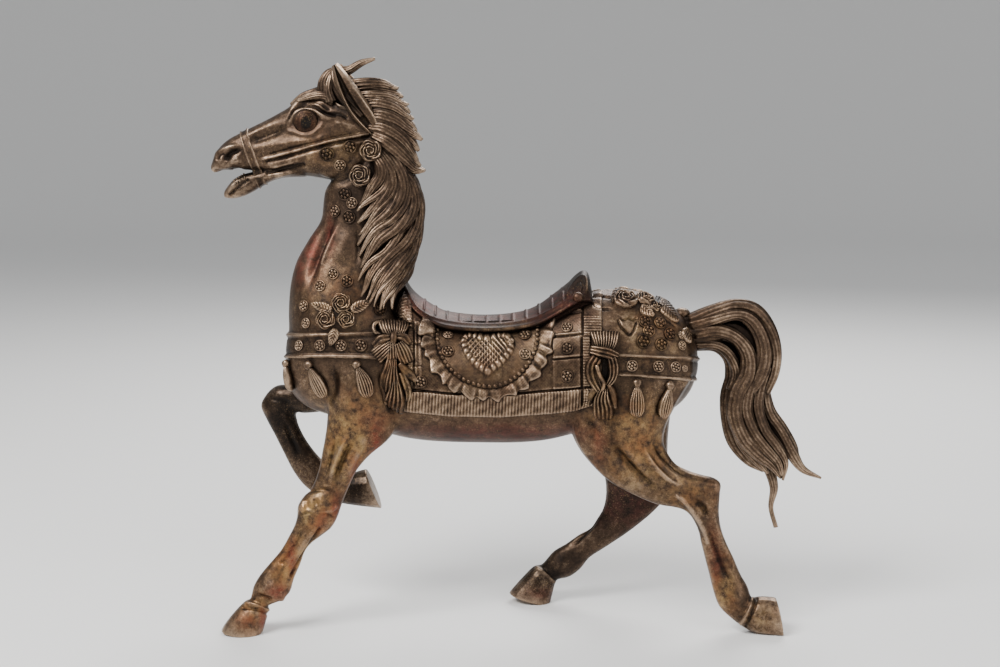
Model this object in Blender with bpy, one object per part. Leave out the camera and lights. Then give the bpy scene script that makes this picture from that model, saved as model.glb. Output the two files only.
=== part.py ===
# A cast bronze horse in fairground harness, standing on three hooves with one foreleg raised.
# The figure is one casting. It is drawn on a side view, square by square, as a sculptor
# enlarges a sketch, and spot() carries a square of that drawing to its place in metres.
import math

import bpy
import bmesh
import numpy as np
from mathutils import Matrix, Vector
from mathutils.bvhtree import BVHTree

# Driving dimension: sole to the tip of the forelock, in metres.
FIGURE_HEIGHT = 0.353

# The drawing. One square is about 0.62 mm on the figure.
SQUARES_HIGH = 565
SQUARE = FIGURE_HEIGHT / SQUARES_HIGH
VIEW_CENTRE = (500.0, 333.5)
CENTRE_ABOVE_GROUND = 292.2
EYE_DISTANCE = 1667.0
EYE_TILT = math.radians(8.0)
# How many triangles the finished form is drawn together into.
FACES = 9600
BRONZE_COLOUR = (0.22, 0.13, 0.075, 1.0)
BRONZE_ROUGHNESS = 0.42


def spot(u, v, y=0.0):
    """The point of the figure seen at square (u, v) of the drawing, y squares to the far side."""
    cos_tilt, sin_tilt = math.cos(EYE_TILT), math.sin(EYE_TILT)
    rise = (VIEW_CENTRE[1] - v) / EYE_DISTANCE
    reach = (y + EYE_DISTANCE * cos_tilt) / (cos_tilt + sin_tilt * rise)
    x = reach * (u - VIEW_CENTRE[0]) / EYE_DISTANCE
    z = CENTRE_ABOVE_GROUND + EYE_DISTANCE * sin_tilt + reach * (cos_tilt * rise - sin_tilt)
    return Vector((x, y, z)) * SQUARE


# Each row of a limb: front or top edge (u, v), back or lower edge (u, v), its distance from the
# middle of the figure, and half its width across.
TORSO = [
    (287, 343, 287, 374, 0, 10), (291, 326, 291, 388, 0, 27), (300, 312, 300, 400, 0, 39),
    (315, 302, 315, 409, 0, 47), (335, 297, 335, 415, 0, 52), (360, 295, 360, 422, 0, 55),
    (385, 299, 385, 431, 0, 57), (410, 310, 410, 437, 0, 59), (440, 319, 440, 440, 0, 61),
    (480, 322, 480, 441, 0, 62), (520, 319, 520, 441, 0, 61), (550, 309, 550, 438, 0, 59),
    (575, 298, 575, 432, 0, 58), (600, 290, 600, 428, 0, 58), (625, 289, 625, 424, 0, 57),
    (648, 294, 648, 418, 0, 54), (668, 303, 668, 410, 0, 48), (682, 315, 682, 400, 0, 38),
    (692, 331, 692, 386, 0, 25), (697, 345, 697, 370, 0, 10),
]
NECK = [
    (338, 172, 378, 112, 0, 20), (325, 190, 400, 132, 0, 23), (323, 205, 408, 162, 0, 25),
    (321, 220, 411, 190, 0, 27), (313, 236, 412, 219, 0, 29), (301, 256, 410, 245, 0, 33),
    (292, 276, 407, 268, 0, 39), (289, 300, 403, 293, 0, 46), (289, 325, 400, 318, 0, 51),
    (291, 352, 398, 350, 0, 51),
]
HEAD = [
    (374, 106, 388, 160, 0, 17), (347, 97, 362, 174, 0, 22), (323, 98, 338, 180, 0, 24),
    (304, 101, 314, 177, 0, 24), (288, 108, 297, 175, 0, 21), (270, 118, 280, 174, 0, 17.5),
    (252, 127, 263, 171, 0, 15.5), (240, 133, 250, 170, 0, 15), (229, 139, 239, 170, 0, 15),
    (220, 147, 228, 171, 0, 13.5), (214, 158, 219, 172, 0, 10.5), (211, 166, 213, 172, 0, 6),
]
LOWER_JAW = [
    (303, 160, 306, 177, 0, 14), (278, 165, 283, 178, 0, 12), (261, 171, 266, 183, 0, 11),
    (249, 177, 255, 190, 0, 10.5), (239, 183, 244, 196, 0, 10.5), (230, 187, 232, 199, 0, 8.5),
    (225, 190, 225, 197, 0, 5),
]
NEAR_FORE = [
    (320, 330, 378, 330, -34, 14), (324, 370, 392, 370, -36, 20), (327, 402, 399, 406, -37, 20),
    (327, 421, 399, 424, -38, 18), (325, 437, 387, 441, -39, 16), (322, 453, 371, 454, -40, 14),
    (319, 468, 357, 470, -41, 12.5), (313, 485, 349, 487, -42, 12), (302, 499, 342, 504, -43, 13),
    (298, 512, 338, 516, -44, 13.5), (295, 524, 331, 528, -45, 12.5),
    (289, 536, 317, 539, -46, 10.5), (281, 550, 307, 552, -47, 9), (270, 563, 300, 566, -48, 9.5),
    (260, 575, 294, 579, -49, 10.5), (254, 585, 290, 592, -50, 11.5),
    (252, 592, 281, 600, -50, 10.5), (250, 599, 269, 605, -51, 10), (244, 602, 269, 610, -51, 13),
    (235, 611, 267, 618, -52, 16), (226, 622, 264, 628, -52, 18), (221, 630, 262, 634, -52, 19),
]
FAR_FORE = [
    (356, 356, 350, 405, 28, 18), (325, 366, 325, 411, 33, 19), (305, 377, 306, 413, 37, 17),
    (290, 384, 299, 412, 39, 14.5), (277, 386, 297, 413, 40, 13), (267, 394, 296, 415, 41, 12.5),
    (261, 405, 297, 419, 41, 12), (266, 418, 299, 426, 41, 10.5), (275, 435, 305, 438, 41, 9),
    (285, 455, 315, 452, 41, 9), (294, 472, 325, 462, 41, 10.5), (306, 487, 337, 468, 41, 11),
    (322, 497, 344, 470, 41, 10.5), (337, 502, 350, 474, 41, 12), (354, 505, 358, 471, 41, 15),
    (382, 508, 366, 469, 41, 17.5),
]
NEAR_HIND = [
    (592, 318, 688, 340, -30, 12), (578, 370, 694, 372, -34, 22), (570, 402, 681, 396, -35, 25),
    (570, 427, 667, 422, -36, 25), (578, 447, 663, 440, -37, 23), (592, 465, 668, 453, -38, 20),
    (609, 481, 677, 464, -40, 17), (632, 494, 690, 471, -41, 14.5), (656, 504, 703, 475, -42, 13),
    (678, 508, 714, 478, -43, 12), (689, 514, 720, 487, -44, 12), (697, 527, 719, 511, -45, 10.5),
    (701, 541, 722, 534, -46, 9.5), (705, 557, 730, 553, -47, 9), (709, 573, 738, 570, -48, 9),
    (713, 590, 747, 585, -49, 10), (719, 606, 750, 594, -50, 11.5), (731, 618, 753, 598, -51, 12),
    (742, 626, 760, 597, -52, 14), (756, 633, 768, 597, -52, 16), (783, 637, 776, 598, -52, 18),
]
FAR_HIND = [
    (596, 350, 676, 350, 30, 18), (588, 400, 672, 400, 34, 22), (592, 440, 668, 440, 38, 19),
    (603, 470, 668, 468, 41, 16), (606, 492, 667, 492, 43, 14), (602, 511, 657, 508, 44, 12.5),
    (590, 526, 632, 529, 45, 11), (578, 535, 607, 546, 46, 9.5), (566, 544, 590, 557, 47, 9),
    (554, 551, 581, 568, 49, 10.5), (546, 560, 570, 576, 50, 11), (541, 565, 558, 579, 51, 10),
    (533, 567, 555, 584, 51, 13), (522, 578, 553, 592, 52, 16), (512, 589, 551, 600, 52, 17.5),
    (509, 593, 551, 604, 52, 18),
]


# Locks of hair, each row its middle (u, v), distance from the middle plane, half its breadth in
# the drawing and half its thickness across. The mane locks are repeated on the far side.
FORELOCK = [
    [(331, 92, 0, 9, 11), (316, 94, 0, 6, 10), (303, 98, 0, 5, 8), (291, 105, 0, 2.5, 4)],
    [(328, 100, -5, 9, 9), (325, 86, -5, 8, 8), (329, 75, -4, 6, 7), (338, 70, -3, 4, 5)],
    [(327, 88, -2, 8, 8), (336, 73, -2, 6, 6), (349, 70, -2, 4.5, 5), (361, 63, -2, 4, 4),
     (374, 59, -2, 2.5, 3)],
]
CREST = [
    [(345, 90, -3, 10, 9), (368, 87, -4, 9, 8), (385, 86, -4, 7, 6), (397, 88, -4, 3, 3)],
    [(352, 99, -9, 8, 8), (374, 97, -10, 7, 7), (391, 99, -9, 5.5, 5), (409, 104, -8, 2.5, 3)],
    [(360, 107, -12, 9, 8), (380, 108, -13, 8, 7), (398, 113, -12, 6, 6), (411, 119, -10, 3, 3)],
    [(370, 119, -16, 9, 8), (392, 123, -16, 8, 7), (408, 131, -14, 6.5, 6), (423, 141, -10, 3, 3)],
    [(373, 131, -20, 9, 8), (395, 138, -19, 8, 8), (411, 147, -16, 7, 7), (424, 154, -12, 3, 4)],
    [(376, 141, -23, 8, 8), (394, 154, -21, 9, 8), (410, 164, -17, 8, 7), (423, 175, -11, 3, 4)],
]
MANE = [
    [(373, 158, -25, 6, 6), (382, 171, -25, 9, 7), (381, 187, -26, 9, 7), (370, 201, -27, 7, 6),
     (357, 213, -27, 2, 3)],
    [(382, 150, -24, 9, 8), (396, 170, -22, 10, 8), (398, 190, -22, 11, 8), (389, 207, -25, 11, 8),
     (372, 221, -28, 8, 6), (357, 238, -29, 2, 3)],
    [(394, 164, -18, 9, 8), (409, 184, -15, 10, 9), (410, 205, -15, 12, 9), (398, 224, -23, 12, 9),
     (378, 240, -29, 10, 7), (361, 262, -31, 2, 3)],
    [(404, 176, -11, 8, 9), (416, 197, -7, 8, 9), (416, 219, -8, 10, 9), (406, 238, -18, 12, 9),
     (389, 254, -28, 11, 8), (373, 273, -34, 8, 6), (362, 290, -38, 2, 3)],
    [(414, 196, -5, 7, 9), (418, 222, -5, 7, 9), (412, 244, -11, 10, 9), (400, 261, -24, 11, 9),
     (385, 278, -34, 9, 7), (370, 295, -41, 3, 3)],
    [(413, 232, -4, 8, 9), (410, 254, -9, 9, 9), (401, 271, -22, 10, 8), (390, 287, -35, 8, 6),
     (382, 302, -43, 3, 3)],
    [(408, 252, -3, 8, 9), (405, 271, -10, 9, 9), (397, 287, -28, 7, 6), (392, 300, -39, 3, 3)],
]
TAIL = [
    [(690, 331, 0, 14, 10), (715, 330, 0, 14, 10), (737, 332, 0, 14, 9), (750, 350, 0, 14, 9),
     (749, 375, 0, 13, 9), (742, 405, 0, 12, 8), (748, 436, 0, 10, 7), (763, 460, 0, 5, 5)],
    [(668, 330, 0, 16, 16), (686, 331, 0, 19, 17), (704, 331, 0, 20, 17), (722, 332, 0, 14, 13)],
    [(690, 322, -4, 9, 10), (712, 314, -5, 9, 10), (735, 308, -6, 9.5, 10), (752, 315, -6, 10, 10),
     (763, 331, -6, 10.5, 10), (768, 350, -6, 12, 10), (766, 370, -6, 12, 10), (756, 388, -6, 10, 9)],
    [(694, 332, -6, 8, 9), (718, 329, -8, 8, 9), (737, 338, -9, 9, 9), (747, 355, -10, 9, 9),
     (746, 374, -10, 9.5, 9), (737, 395, -10, 9.5, 9), (737, 417, -10, 9, 9), (748, 440, -8, 9, 8),
     (765, 458, -5, 7, 6), (778, 472, -2, 3, 4)],
    [(694, 343, 0, 8, 9), (716, 344, 0, 7, 9), (731, 356, 0, 8, 9), (736, 374, 1, 8, 9),
     (730, 394, 3, 8, 9), (730, 418, 5, 8, 9), (735, 441, 7, 8, 8), (748, 460, 8, 6, 6),
     (763, 471, 7, 3, 4)],
    [(766, 366, -2, 10, 9), (756, 388, -4, 10, 9), (753, 410, -8, 9, 9), (760, 434, -9, 8, 8),
     (772, 456, -7, 7, 7), (780, 480, -4, 3, 4)],
    [(769, 368, 0, 9, 9), (762, 392, -1, 8, 9), (768, 413, -3, 7, 8), (782, 433, -4, 7.5, 8),
     (792, 455, -3, 7, 7), (803, 470, -1, 4, 5), (821, 478, 0, 2, 3)],
    [(770, 360, 6, 10, 9), (760, 390, 8, 9, 9), (752, 420, 10, 9, 9), (757, 446, 10, 8, 8),
     (768, 466, 8, 6, 6), (774, 487, 5, 4.5, 5), (771, 507, 4, 3, 4), (776, 527, 3, 2.5, 3)],
    [(694, 325, 5, 9, 10), (716, 318, 7, 9, 10), (740, 316, 8, 10, 10), (757, 332, 8, 10, 10),
     (760, 356, 8, 11, 10), (752, 380, 8, 11, 10), (742, 408, 8, 10, 9), (748, 440, 9, 7, 7)],
]

# What the mane locks lie on, in the same form as the rows of the neck.
MANE_MASS = [
    (330, 84, 352, 98, 0, 9), (345, 82, 366, 106, 0, 13), (362, 88, 376, 122, 0, 16),
    (384, 98, 374, 140, 0, 19), (404, 122, 382, 158, 0, 20), (413, 150, 388, 172, 0, 20),
    (416, 180, 382, 192, 0, 21), (418, 210, 374, 218, 0, 25), (416, 236, 372, 248, 0, 29),
    (409, 260, 374, 272, 0, 34), (400, 280, 380, 288, 0, 38), (394, 292, 386, 296, 0, 40)]

# The eyeball: its middle in the drawing, how far out it sits, and its radii.
EYE = (306, 121)
EYE_OUT = 15
EYE_RADII = (11, 10, 11)

# The ear, from its root to its tip: middle (u, v), distance out, half its breadth, its hollow.
EAR = [
    (376, 133, -22, 4, 2), (368, 121, -24, 8.5, 5), (357, 107, -26, 11, 8), (348, 94, -26, 11, 8),
    (341, 80, -24, 7.5, 5), (334, 65, -20, 1.5, 1),
]
EAR_WALL = 4.5

# The saddle: along the horse, the crest of the seat, its near edge, and how far out that edge is.
SADDLE = [
    (403, 272, 280, 9), (407, 281, 294, 22), (415, 292, 307, 32), (428, 302, 317, 38),
    (447, 312, 325, 42), (478, 317, 328, 43), (510, 315, 327, 43), (535, 307, 322, 43),
    (555, 293, 312, 42), (570, 281, 303, 40), (581, 272, 298, 37), (590, 280, 300, 34),
]
SADDLE_DEPTH = 18


# The harness, outlines in the drawing. Each stands proud of what it lies on.
BLANKET = [
    (404, 286), (398, 320), (399, 360), (398, 409), (425, 413), (450, 415.5), (500, 416.5),
    (550, 413), (590, 407), (592, 360), (592, 300), (580, 280), (480, 290)]
BLANKET_LIFT = 2.0
FRINGE = [
    (398, 391), (425, 393), (450, 395), (500, 396), (550, 392), (590, 388), (590, 407),
    (550, 413), (500, 416.5), (450, 415.5), (425, 413), (398, 409)]
FRINGE_LIFT = 1.2
REAR_PANEL = [(553, 305), (583, 300), (584, 386), (553, 390)]
REAR_PANEL_LIFT = 1.2
FRONT_PANEL = [(400, 288), (412, 300), (422, 322), (421, 386), (399, 386)]
FRONT_PANEL_LIFT = 1.2
BELTS = [
    [(270, 334), (382, 332), (382, 360), (270, 361)],
    [(612, 353), (720, 358), (720, 381), (612, 376)],
]
BELT_LIFT = 1.2
RAILS = [
    [(270, 334), (330, 333), (382, 331), (382, 335), (330, 337), (270, 338)],
    [(270, 357), (330, 358), (382, 359), (382, 363), (330, 362), (270, 361)],
    [(612, 353), (720, 358), (720, 362), (612, 357)],
    [(612, 373), (720, 377), (720, 381), (612, 377)],
    [(583, 303), (590, 303), (590, 402), (583, 404)],
    [(402, 288), (409, 300), (413, 325), (413, 386), (408, 386), (408, 325), (402, 300)],
]
RAIL_LIFT = 1.3
CHEEK_STRAP = [
    (256, 159), (278, 154), (300, 149), (330, 140), (350, 136), (374, 132),
    (374, 138), (350, 143), (330, 148), (300, 158), (278, 162), (260, 166)]
NOSEBAND = [
    (242, 120), (252, 120), (254, 140), (260, 158), (266, 175), (272, 190),
    (263, 192), (257, 176), (250, 160), (243, 140)]
BRIDLE_LIFT = 1.3

# The apron hung from the saddle. Its border is ruffled and its field carries a heart.
APRON_CENTRE = (487, 322)
APRON_FIELD = [
    (433, 322), (436, 345), (442, 362), (455, 377), (470, 385), (487, 389), (505, 387),
    (520, 380), (532, 366), (538, 346), (540, 322)]
APRON_RUFFLE = [
    (418, 320), (421, 345), (430, 369), (445, 386), (463, 396), (490, 401), (514, 396),
    (532, 385), (546, 369), (554, 347), (556, 320)]
APRON_LOBES = 15
APRON_LIFT = 2.6
RUFFLE_LIFT = 3.2
HEART = [
    (488, 378), (478, 371), (468, 362), (461, 352), (461, 342), (468, 335), (478, 335),
    (487, 340), (497, 334), (508, 335), (514, 343), (513, 353), (505, 363), (496, 371)]
HEART_CENTRE = (487, 353)
HEART_CORE_SHARE = 0.78
HEART_LIFT = 1.6
HEART_CORE_LIFT = 2.0

# Bows, as ribbons laid on the body: (u, v, lift, half breadth, half thickness) along each.
FRONT_BOW = [
    [(399, 341, 4, 6, 5), (392, 332, 4, 6, 4), (382, 329, 3, 8, 3.5), (374, 328, 2, 7, 3)],
    [(399, 341, 4, 6, 5), (398, 332, 5, 8, 4), (397, 324, 4, 11, 3)],
    [(398, 343, 5, 9, 5), (398, 350, 4, 5, 5), (391, 366, 4, 7, 4), (398, 384, 4, 5, 4),
     (394, 396, 4, 9, 4), (394, 407, 3, 12, 3)],
    [(399, 346, 4, 5, 4), (405, 358, 4, 6, 4), (400, 368, 4, 5, 4), (409, 378, 3, 5, 3),
     (416, 386, 2, 3, 2)],
    [(394, 346, 3, 5, 4), (385, 352, 3, 5, 4), (388, 362, 3, 5, 4), (382, 372, 3, 4, 3)],
]
REAR_BOW = [
    [(602, 350, 4, 6, 5), (592, 341, 4, 6, 4), (586, 338, 2, 5, 3)],
    [(602, 350, 4, 6, 5), (604, 342, 5, 10, 4), (605, 334, 4, 12, 3)],
    [(602, 350, 4, 6, 5), (613, 343, 4, 6, 4), (619, 340, 2, 5, 3)],
    [(602, 352, 5, 11, 5), (601, 358, 4, 5, 5), (594, 372, 4, 7, 4), (603, 386, 4, 5, 4),
     (600, 400, 4, 8, 4), (601, 417, 3, 10, 3)],
    [(604, 356, 4, 5, 4), (612, 366, 4, 6, 4), (606, 378, 4, 5, 4), (614, 390, 3, 6, 3),
     (608, 402, 3, 4, 3)],
]
# Tassels: where the bead sits and where the skirt ends, and half the skirt's breadth.
TASSELS = [
    (309, 364, 319, 396, 7), (355, 365, 364, 396, 8), (288, 363, 293, 390, 5),
    (637, 383, 637, 415, 7), (669, 385, 664, 415, 7),
]
# Carved roses: middle (u, v), radius and how far off the body they stand. The first group is on
# the shoulder, the next on the cheek, the last on the croup.
ROSES = [
    (341, 303, 9, 0), (325, 319, 9, 0), (346, 319, 8.5, 0), (372, 150, 10, 9), (361, 174, 9.5, 3),
    (622, 296, 10, 0), (641, 288, 9, 0), (606, 290, 8, 0),
]
FAR_ROSES = [(341, 303, 9, 0), (325, 319, 9, 0), (372, 150, 10, 9), (622, 296, 10, 0)]


def spline(rows, steps):
    """Rows joined by a Catmull-Rom curve, with steps rows from each given one to the next."""
    dense = []
    last = len(rows) - 1
    for i in range(last):
        before, start, end, after = (rows[min(max(i + k, 0), last)] for k in (-1, 0, 1, 2))
        for step in range(steps):
            t = step / steps
            dense.append(tuple(
                0.5 * (2 * b + (c - a) * t + (2 * a - 5 * b + 4 * c - d) * t ** 2
                       + (3 * b - a - 3 * c + d) * t ** 3)
                for a, b, c, d in zip(before, start, end, after)))
    dense.append(tuple(rows[-1]))
    return dense


def skin(name, rings):
    """A closed mesh object over rings of points, with a fan on each end."""
    mesh = bmesh.new()
    loops = [[mesh.verts.new(point) for point in ring] for ring in rings]
    sides = len(rings[0])
    for lower, upper in zip(loops, loops[1:]):
        for k in range(sides):
            n = (k + 1) % sides
            mesh.faces.new((lower[k], lower[n], upper[n], upper[k]))
    for loop in (loops[0], loops[-1]):
        middle = mesh.verts.new(sum((vert.co for vert in loop), Vector()) / sides)
        for k in range(sides):
            mesh.faces.new((loop[k], loop[(k + 1) % sides], middle))
    bmesh.ops.recalc_face_normals(mesh, faces=mesh.faces)
    data = bpy.data.meshes.new(name)
    mesh.to_mesh(data)
    mesh.free()
    piece = bpy.data.objects.new(name, data)
    bpy.context.scene.collection.objects.link(piece)
    return piece


def limb(name, rows, steps=3, sides=16, fullness=2.2, egg=0.0):
    """A tapering form between two edges of the drawing. fullness 2 is an ellipse in section,
    more is boxier, and egg widens the section towards the first edge."""
    rings = []
    for u1, v1, u2, v2, y, half_width in spline(rows, steps):
        first, second = spot(u1, v1, y), spot(u2, v2, y)
        centre, reach = (first + second) / 2, (first - second) / 2
        ring = []
        for k in range(sides):
            angle = 2 * math.pi * k / sides
            along, across = math.cos(angle), math.sin(angle)
            along = math.copysign(abs(along) ** (2 / fullness), along)
            across = math.copysign(abs(across) ** (2 / fullness), across)
            wide = half_width * SQUARE * (1 + egg * along)
            ring.append(centre + reach * along + Vector((0, wide * across, 0)))
        rings.append(ring)
    return skin(name, rings)


def ball(name, u, v, y, radii):
    """An ellipsoid, such as a cheek or an eye."""
    mesh = bmesh.new()
    place = Matrix.Translation(spot(u, v, y)) @ Matrix.Diagonal((*radii, 1)) @ Matrix.Scale(SQUARE, 4)
    bmesh.ops.create_uvsphere(mesh, u_segments=20, v_segments=12, radius=1, matrix=place)
    data = bpy.data.meshes.new(name)
    mesh.to_mesh(data)
    mesh.free()
    piece = bpy.data.objects.new(name, data)
    bpy.context.scene.collection.objects.link(piece)
    return piece


def fused(name, pieces, voxel, smoothing):
    """One closed solid from overlapping ones: they are joined, remeshed and smoothed."""
    mesh = bmesh.new()
    for piece in pieces:
        mesh.from_mesh(piece.data)
        bpy.data.objects.remove(piece)
    data = bpy.data.meshes.new(name)
    mesh.to_mesh(data)
    mesh.free()
    whole = bpy.data.objects.new(name, data)
    bpy.context.scene.collection.objects.link(whole)
    remesh = whole.modifiers.new("Fuse", "REMESH")
    remesh.mode = "VOXEL"
    remesh.voxel_size = voxel * SQUARE
    smooth = whole.modifiers.new("Blend", "SMOOTH")
    smooth.factor = 0.5
    smooth.iterations = smoothing
    bpy.context.view_layer.update()
    graph = bpy.context.evaluated_depsgraph_get()
    data = bpy.data.meshes.new_from_object(whole.evaluated_get(graph))
    bpy.data.objects.remove(whole)
    whole = bpy.data.objects.new(name, data)
    bpy.context.scene.collection.objects.link(whole)
    return whole


def lock(name, rows, steps=3, sides=8, far=False):
    """A lock of hair swept along its middle line, flattened against what it lies on."""
    dense = spline(rows, steps)
    middles = [spot(u, v, -y if far else y) for u, v, y, _, _ in dense]
    rings = []
    for i, (_, _, _, breadth, thickness) in enumerate(dense):
        travel = middles[min(i + 1, len(dense) - 1)] - middles[max(i - 1, 0)]
        edgewise = Vector((travel.z, 0, -travel.x)).normalized() * breadth * SQUARE
        outward = travel.cross(edgewise).normalized() * thickness * SQUARE
        rings.append([
            middles[i] + edgewise * math.cos(2 * math.pi * k / sides)
            + outward * math.sin(2 * math.pi * k / sides) for k in range(sides)])
    return skin(name, rings)


def ear(name, far=False):
    """A leaf hollowed on the side that faces out and forward."""
    side = -1 if far else 1
    dense = spline(EAR, 3)
    middles = [spot(u, v, side * y) for u, v, y, _, _ in dense]
    rings = []
    for i, (_, _, _, breadth, hollow) in enumerate(dense):
        travel = (middles[min(i + 1, len(dense) - 1)] - middles[max(i - 1, 0)]).normalized()
        forward = Vector((-travel.z, 0, travel.x)).normalized()
        inward = Vector((0, side, 0))
        ring = []
        for k in range(-3, 4):
            angle = k * math.pi / 6
            ring.append(middles[i] + SQUARE * (
                forward * breadth * math.sin(angle) + inward * hollow * math.cos(angle)))
        for k in range(3, -4, -1):
            angle = k * math.pi / 6
            ring.append(middles[i] + SQUARE * (
                forward * (breadth + 0.6 * EAR_WALL) * math.sin(angle)
                + inward * (hollow * math.cos(angle) + EAR_WALL)))
        rings.append(ring)
    return skin(name, rings)


def saddle(name):
    """The seat with its high cantle, its crown falling to an edge that stands off the blanket."""
    rings = []
    for u, crest, edge, reach in spline(SADDLE, 3):
        top = spot(u, crest, 0)
        rim = spot(u, edge, -reach)
        ring = []
        for k in range(-4, 5):
            share = k / 4
            ring.append(Vector((top.x, share * abs(rim.y), top.z + (rim.z - top.z) * share ** 2)))
        drop = SADDLE_DEPTH * SQUARE
        ring.append(Vector((top.x, 0.9 * abs(rim.y), rim.z - drop)))
        ring.append(Vector((top.x, -0.9 * abs(rim.y), rim.z - drop)))
        rings.append(ring)
    return skin(name, rings)


def drawn(points):
    """The squares of the drawing that points in metres fall on, seen from the near side."""
    cos_tilt, sin_tilt = math.cos(EYE_TILT), math.sin(EYE_TILT)
    x = points[:, 0] / SQUARE
    y = points[:, 1] / SQUARE
    z = points[:, 2] / SQUARE - CENTRE_ABOVE_GROUND
    depth = EYE_DISTANCE + y * cos_tilt - z * sin_tilt
    rise = z * cos_tilt + y * sin_tilt
    return np.stack([
        VIEW_CENTRE[0] + EYE_DISTANCE * x / depth,
        VIEW_CENTRE[1] - EYE_DISTANCE * rise / depth], axis=1)


def within(outline, at, softness=1.6):
    """1 inside an outline of the drawing, 0 outside, with a rounded step between."""
    corners = np.array(outline, dtype=float)
    nearest = np.full(len(at), 1e9)
    inside = np.zeros(len(at), dtype=bool)
    for i in range(len(corners)):
        a, b = corners[i - 1], corners[i]
        along = b - a
        share = np.clip(((at - a) @ along) / max(along @ along, 1e-9), 0, 1)
        nearest = np.minimum(nearest, np.linalg.norm(at - a - share[:, None] * along, axis=1))
        crosses = (a[1] > at[:, 1]) != (b[1] > at[:, 1])
        slope = along[0] / (along[1] if along[1] else 1e-9)
        inside ^= crosses & (at[:, 0] < a[0] + (at[:, 1] - a[1]) * slope)
    level = np.clip(0.5 + np.where(inside, nearest, -nearest) / softness, 0, 1)
    return level * level * (3 - 2 * level)


def wavy(outline, lobes, swing, steps=10):
    """An outline whose edge runs in and out in even lobes."""
    dense = spline([row + (0,) for row in outline], steps)
    at = np.array(dense)[:, :2]
    run = np.concatenate([[0], np.cumsum(np.linalg.norm(np.diff(at, axis=0), axis=1))])
    centre = np.array(APRON_CENTRE, dtype=float)
    away = at - centre
    away /= np.linalg.norm(away, axis=1)[:, None]
    phase = np.abs(np.sin(math.pi * lobes * run / run[-1]))
    return [tuple(p) for p in at + away * (swing * (phase - 0.6))[:, None]]


def dress(body):
    """Raises the harness out of the body: blanket, belts, bridle, apron and heart."""
    mesh = body.data
    points = np.empty(len(mesh.vertices) * 3)
    mesh.vertices.foreach_get("co", points)
    points = points.reshape(-1, 3)
    normals = np.empty(len(mesh.vertices) * 3)
    mesh.vertices.foreach_get("normal", normals)
    normals = normals.reshape(-1, 3)
    nearside = points.copy()
    nearside[:, 1] = -np.abs(nearside[:, 1])
    at = drawn(nearside)
    lift = BLANKET_LIFT * within(BLANKET, at)
    lift += FRINGE_LIFT * within(FRINGE, at)
    lift += REAR_PANEL_LIFT * within(REAR_PANEL, at) + FRONT_PANEL_LIFT * within(FRONT_PANEL, at)
    for outline in BELTS:
        lift += BELT_LIFT * within(outline, at)
    for outline in RAILS:
        lift += RAIL_LIFT * within(outline, at, 1.2)
    for outline in (CHEEK_STRAP, NOSEBAND):
        lift += BRIDLE_LIFT * within(outline, at)
    ruffle = within(wavy(APRON_RUFFLE, APRON_LOBES, 7), at)
    swing = np.arctan2(at[:, 1] - APRON_CENTRE[1], at[:, 0] - APRON_CENTRE[0])
    folds = 0.6 + 0.4 * np.cos(2 * APRON_LOBES * (swing - 0.1))
    field = within(APRON_FIELD, at)
    lift += RUFFLE_LIFT * ruffle * np.where(field > 0.5, 0.6, folds)
    lift += APRON_LIFT * field
    lift += HEART_LIFT * within(HEART, at, 3)
    core = [tuple(m + HEART_CORE_SHARE * (p - m) for p, m in zip(point, HEART_CENTRE))
            for point in HEART]
    lift += HEART_CORE_LIFT * within(core, at, 6)
    moved = points + normals * (lift * SQUARE)[:, None]
    mesh.vertices.foreach_set("co", moved.ravel())
    mesh.update()
    return body


def surface(tree, u, v, lift, far=False):
    """A place on the body, lift squares above it, and the way the body faces there."""
    start = spot(u, v, -300)
    step = (spot(u, v, 0) - start).normalized()
    if far:
        start.y, step.y = -start.y, -step.y
    hit, normal, _, _ = tree.ray_cast(start, step)
    if hit is None:
        hit, normal, _, _ = tree.find_nearest(spot(u, v, 30 if far else -30))
    return hit + normal * lift * SQUARE, normal


def ribbon(name, tree, rows, far=False, sides=8):
    """A strip laid along the body."""
    dense = spline(rows, 3)
    placed = [surface(tree, u, v, lift, far) for u, v, lift, _, _ in dense]
    rings = []
    for i, (_, _, _, breadth, thickness) in enumerate(dense):
        travel = placed[min(i + 1, len(dense) - 1)][0] - placed[max(i - 1, 0)][0]
        edgewise = travel.cross(placed[i][1]).normalized() * breadth * SQUARE
        outward = edgewise.cross(travel).normalized() * thickness * SQUARE
        rings.append([
            placed[i][0] + edgewise * math.cos(2 * math.pi * k / sides)
            + outward * math.sin(2 * math.pi * k / sides) for k in range(sides)])
    return skin(name, rings)


def tassel(name, tree, row, far=False):
    """A bead with a skirt of threads hanging from it."""
    u, v, end_u, end_v, half = row
    rows = [
        (u, v, 2, 2.5, 2), (u, v + 3, 2.5, 4.2, 4), (u + 0.2 * (end_u - u), v + 8, 2, 2.6, 3),
        (u + 0.4 * (end_u - u), v + 0.4 * (end_v - v), 2.5, 0.7 * half, 4),
        (u + 0.75 * (end_u - u), v + 0.75 * (end_v - v), 2.5, half, 4.5),
        (end_u, end_v, 2, 0.6 * half, 3.5)]
    return ribbon(name, tree, rows, far)


def rose(name, tree, u, v, radius, lift, far=False):
    """A full-blown rose of five petals, low and rounded."""
    middle, normal = surface(tree, u, v, lift - 1, far)
    across = normal.cross(Vector((0, 0, 1))).normalized()
    upright = across.cross(normal).normalized()
    rings = []
    for share, height in ((1.0, -4), (1.02, 2.2), (0.86, 4.0), (0.6, 4.2), (0.42, 3.4), (0.2, 4.8)):
        ring = []
        for k in range(20):
            angle = 2 * math.pi * k / 20
            reach = radius * share * (1 + 0.09 * math.cos(5 * angle))
            ring.append(middle + SQUARE * (
                across * reach * math.cos(angle) + upright * reach * math.sin(angle)
                + normal * height))
        rings.append(ring)
    return skin(name, rings)


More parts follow.
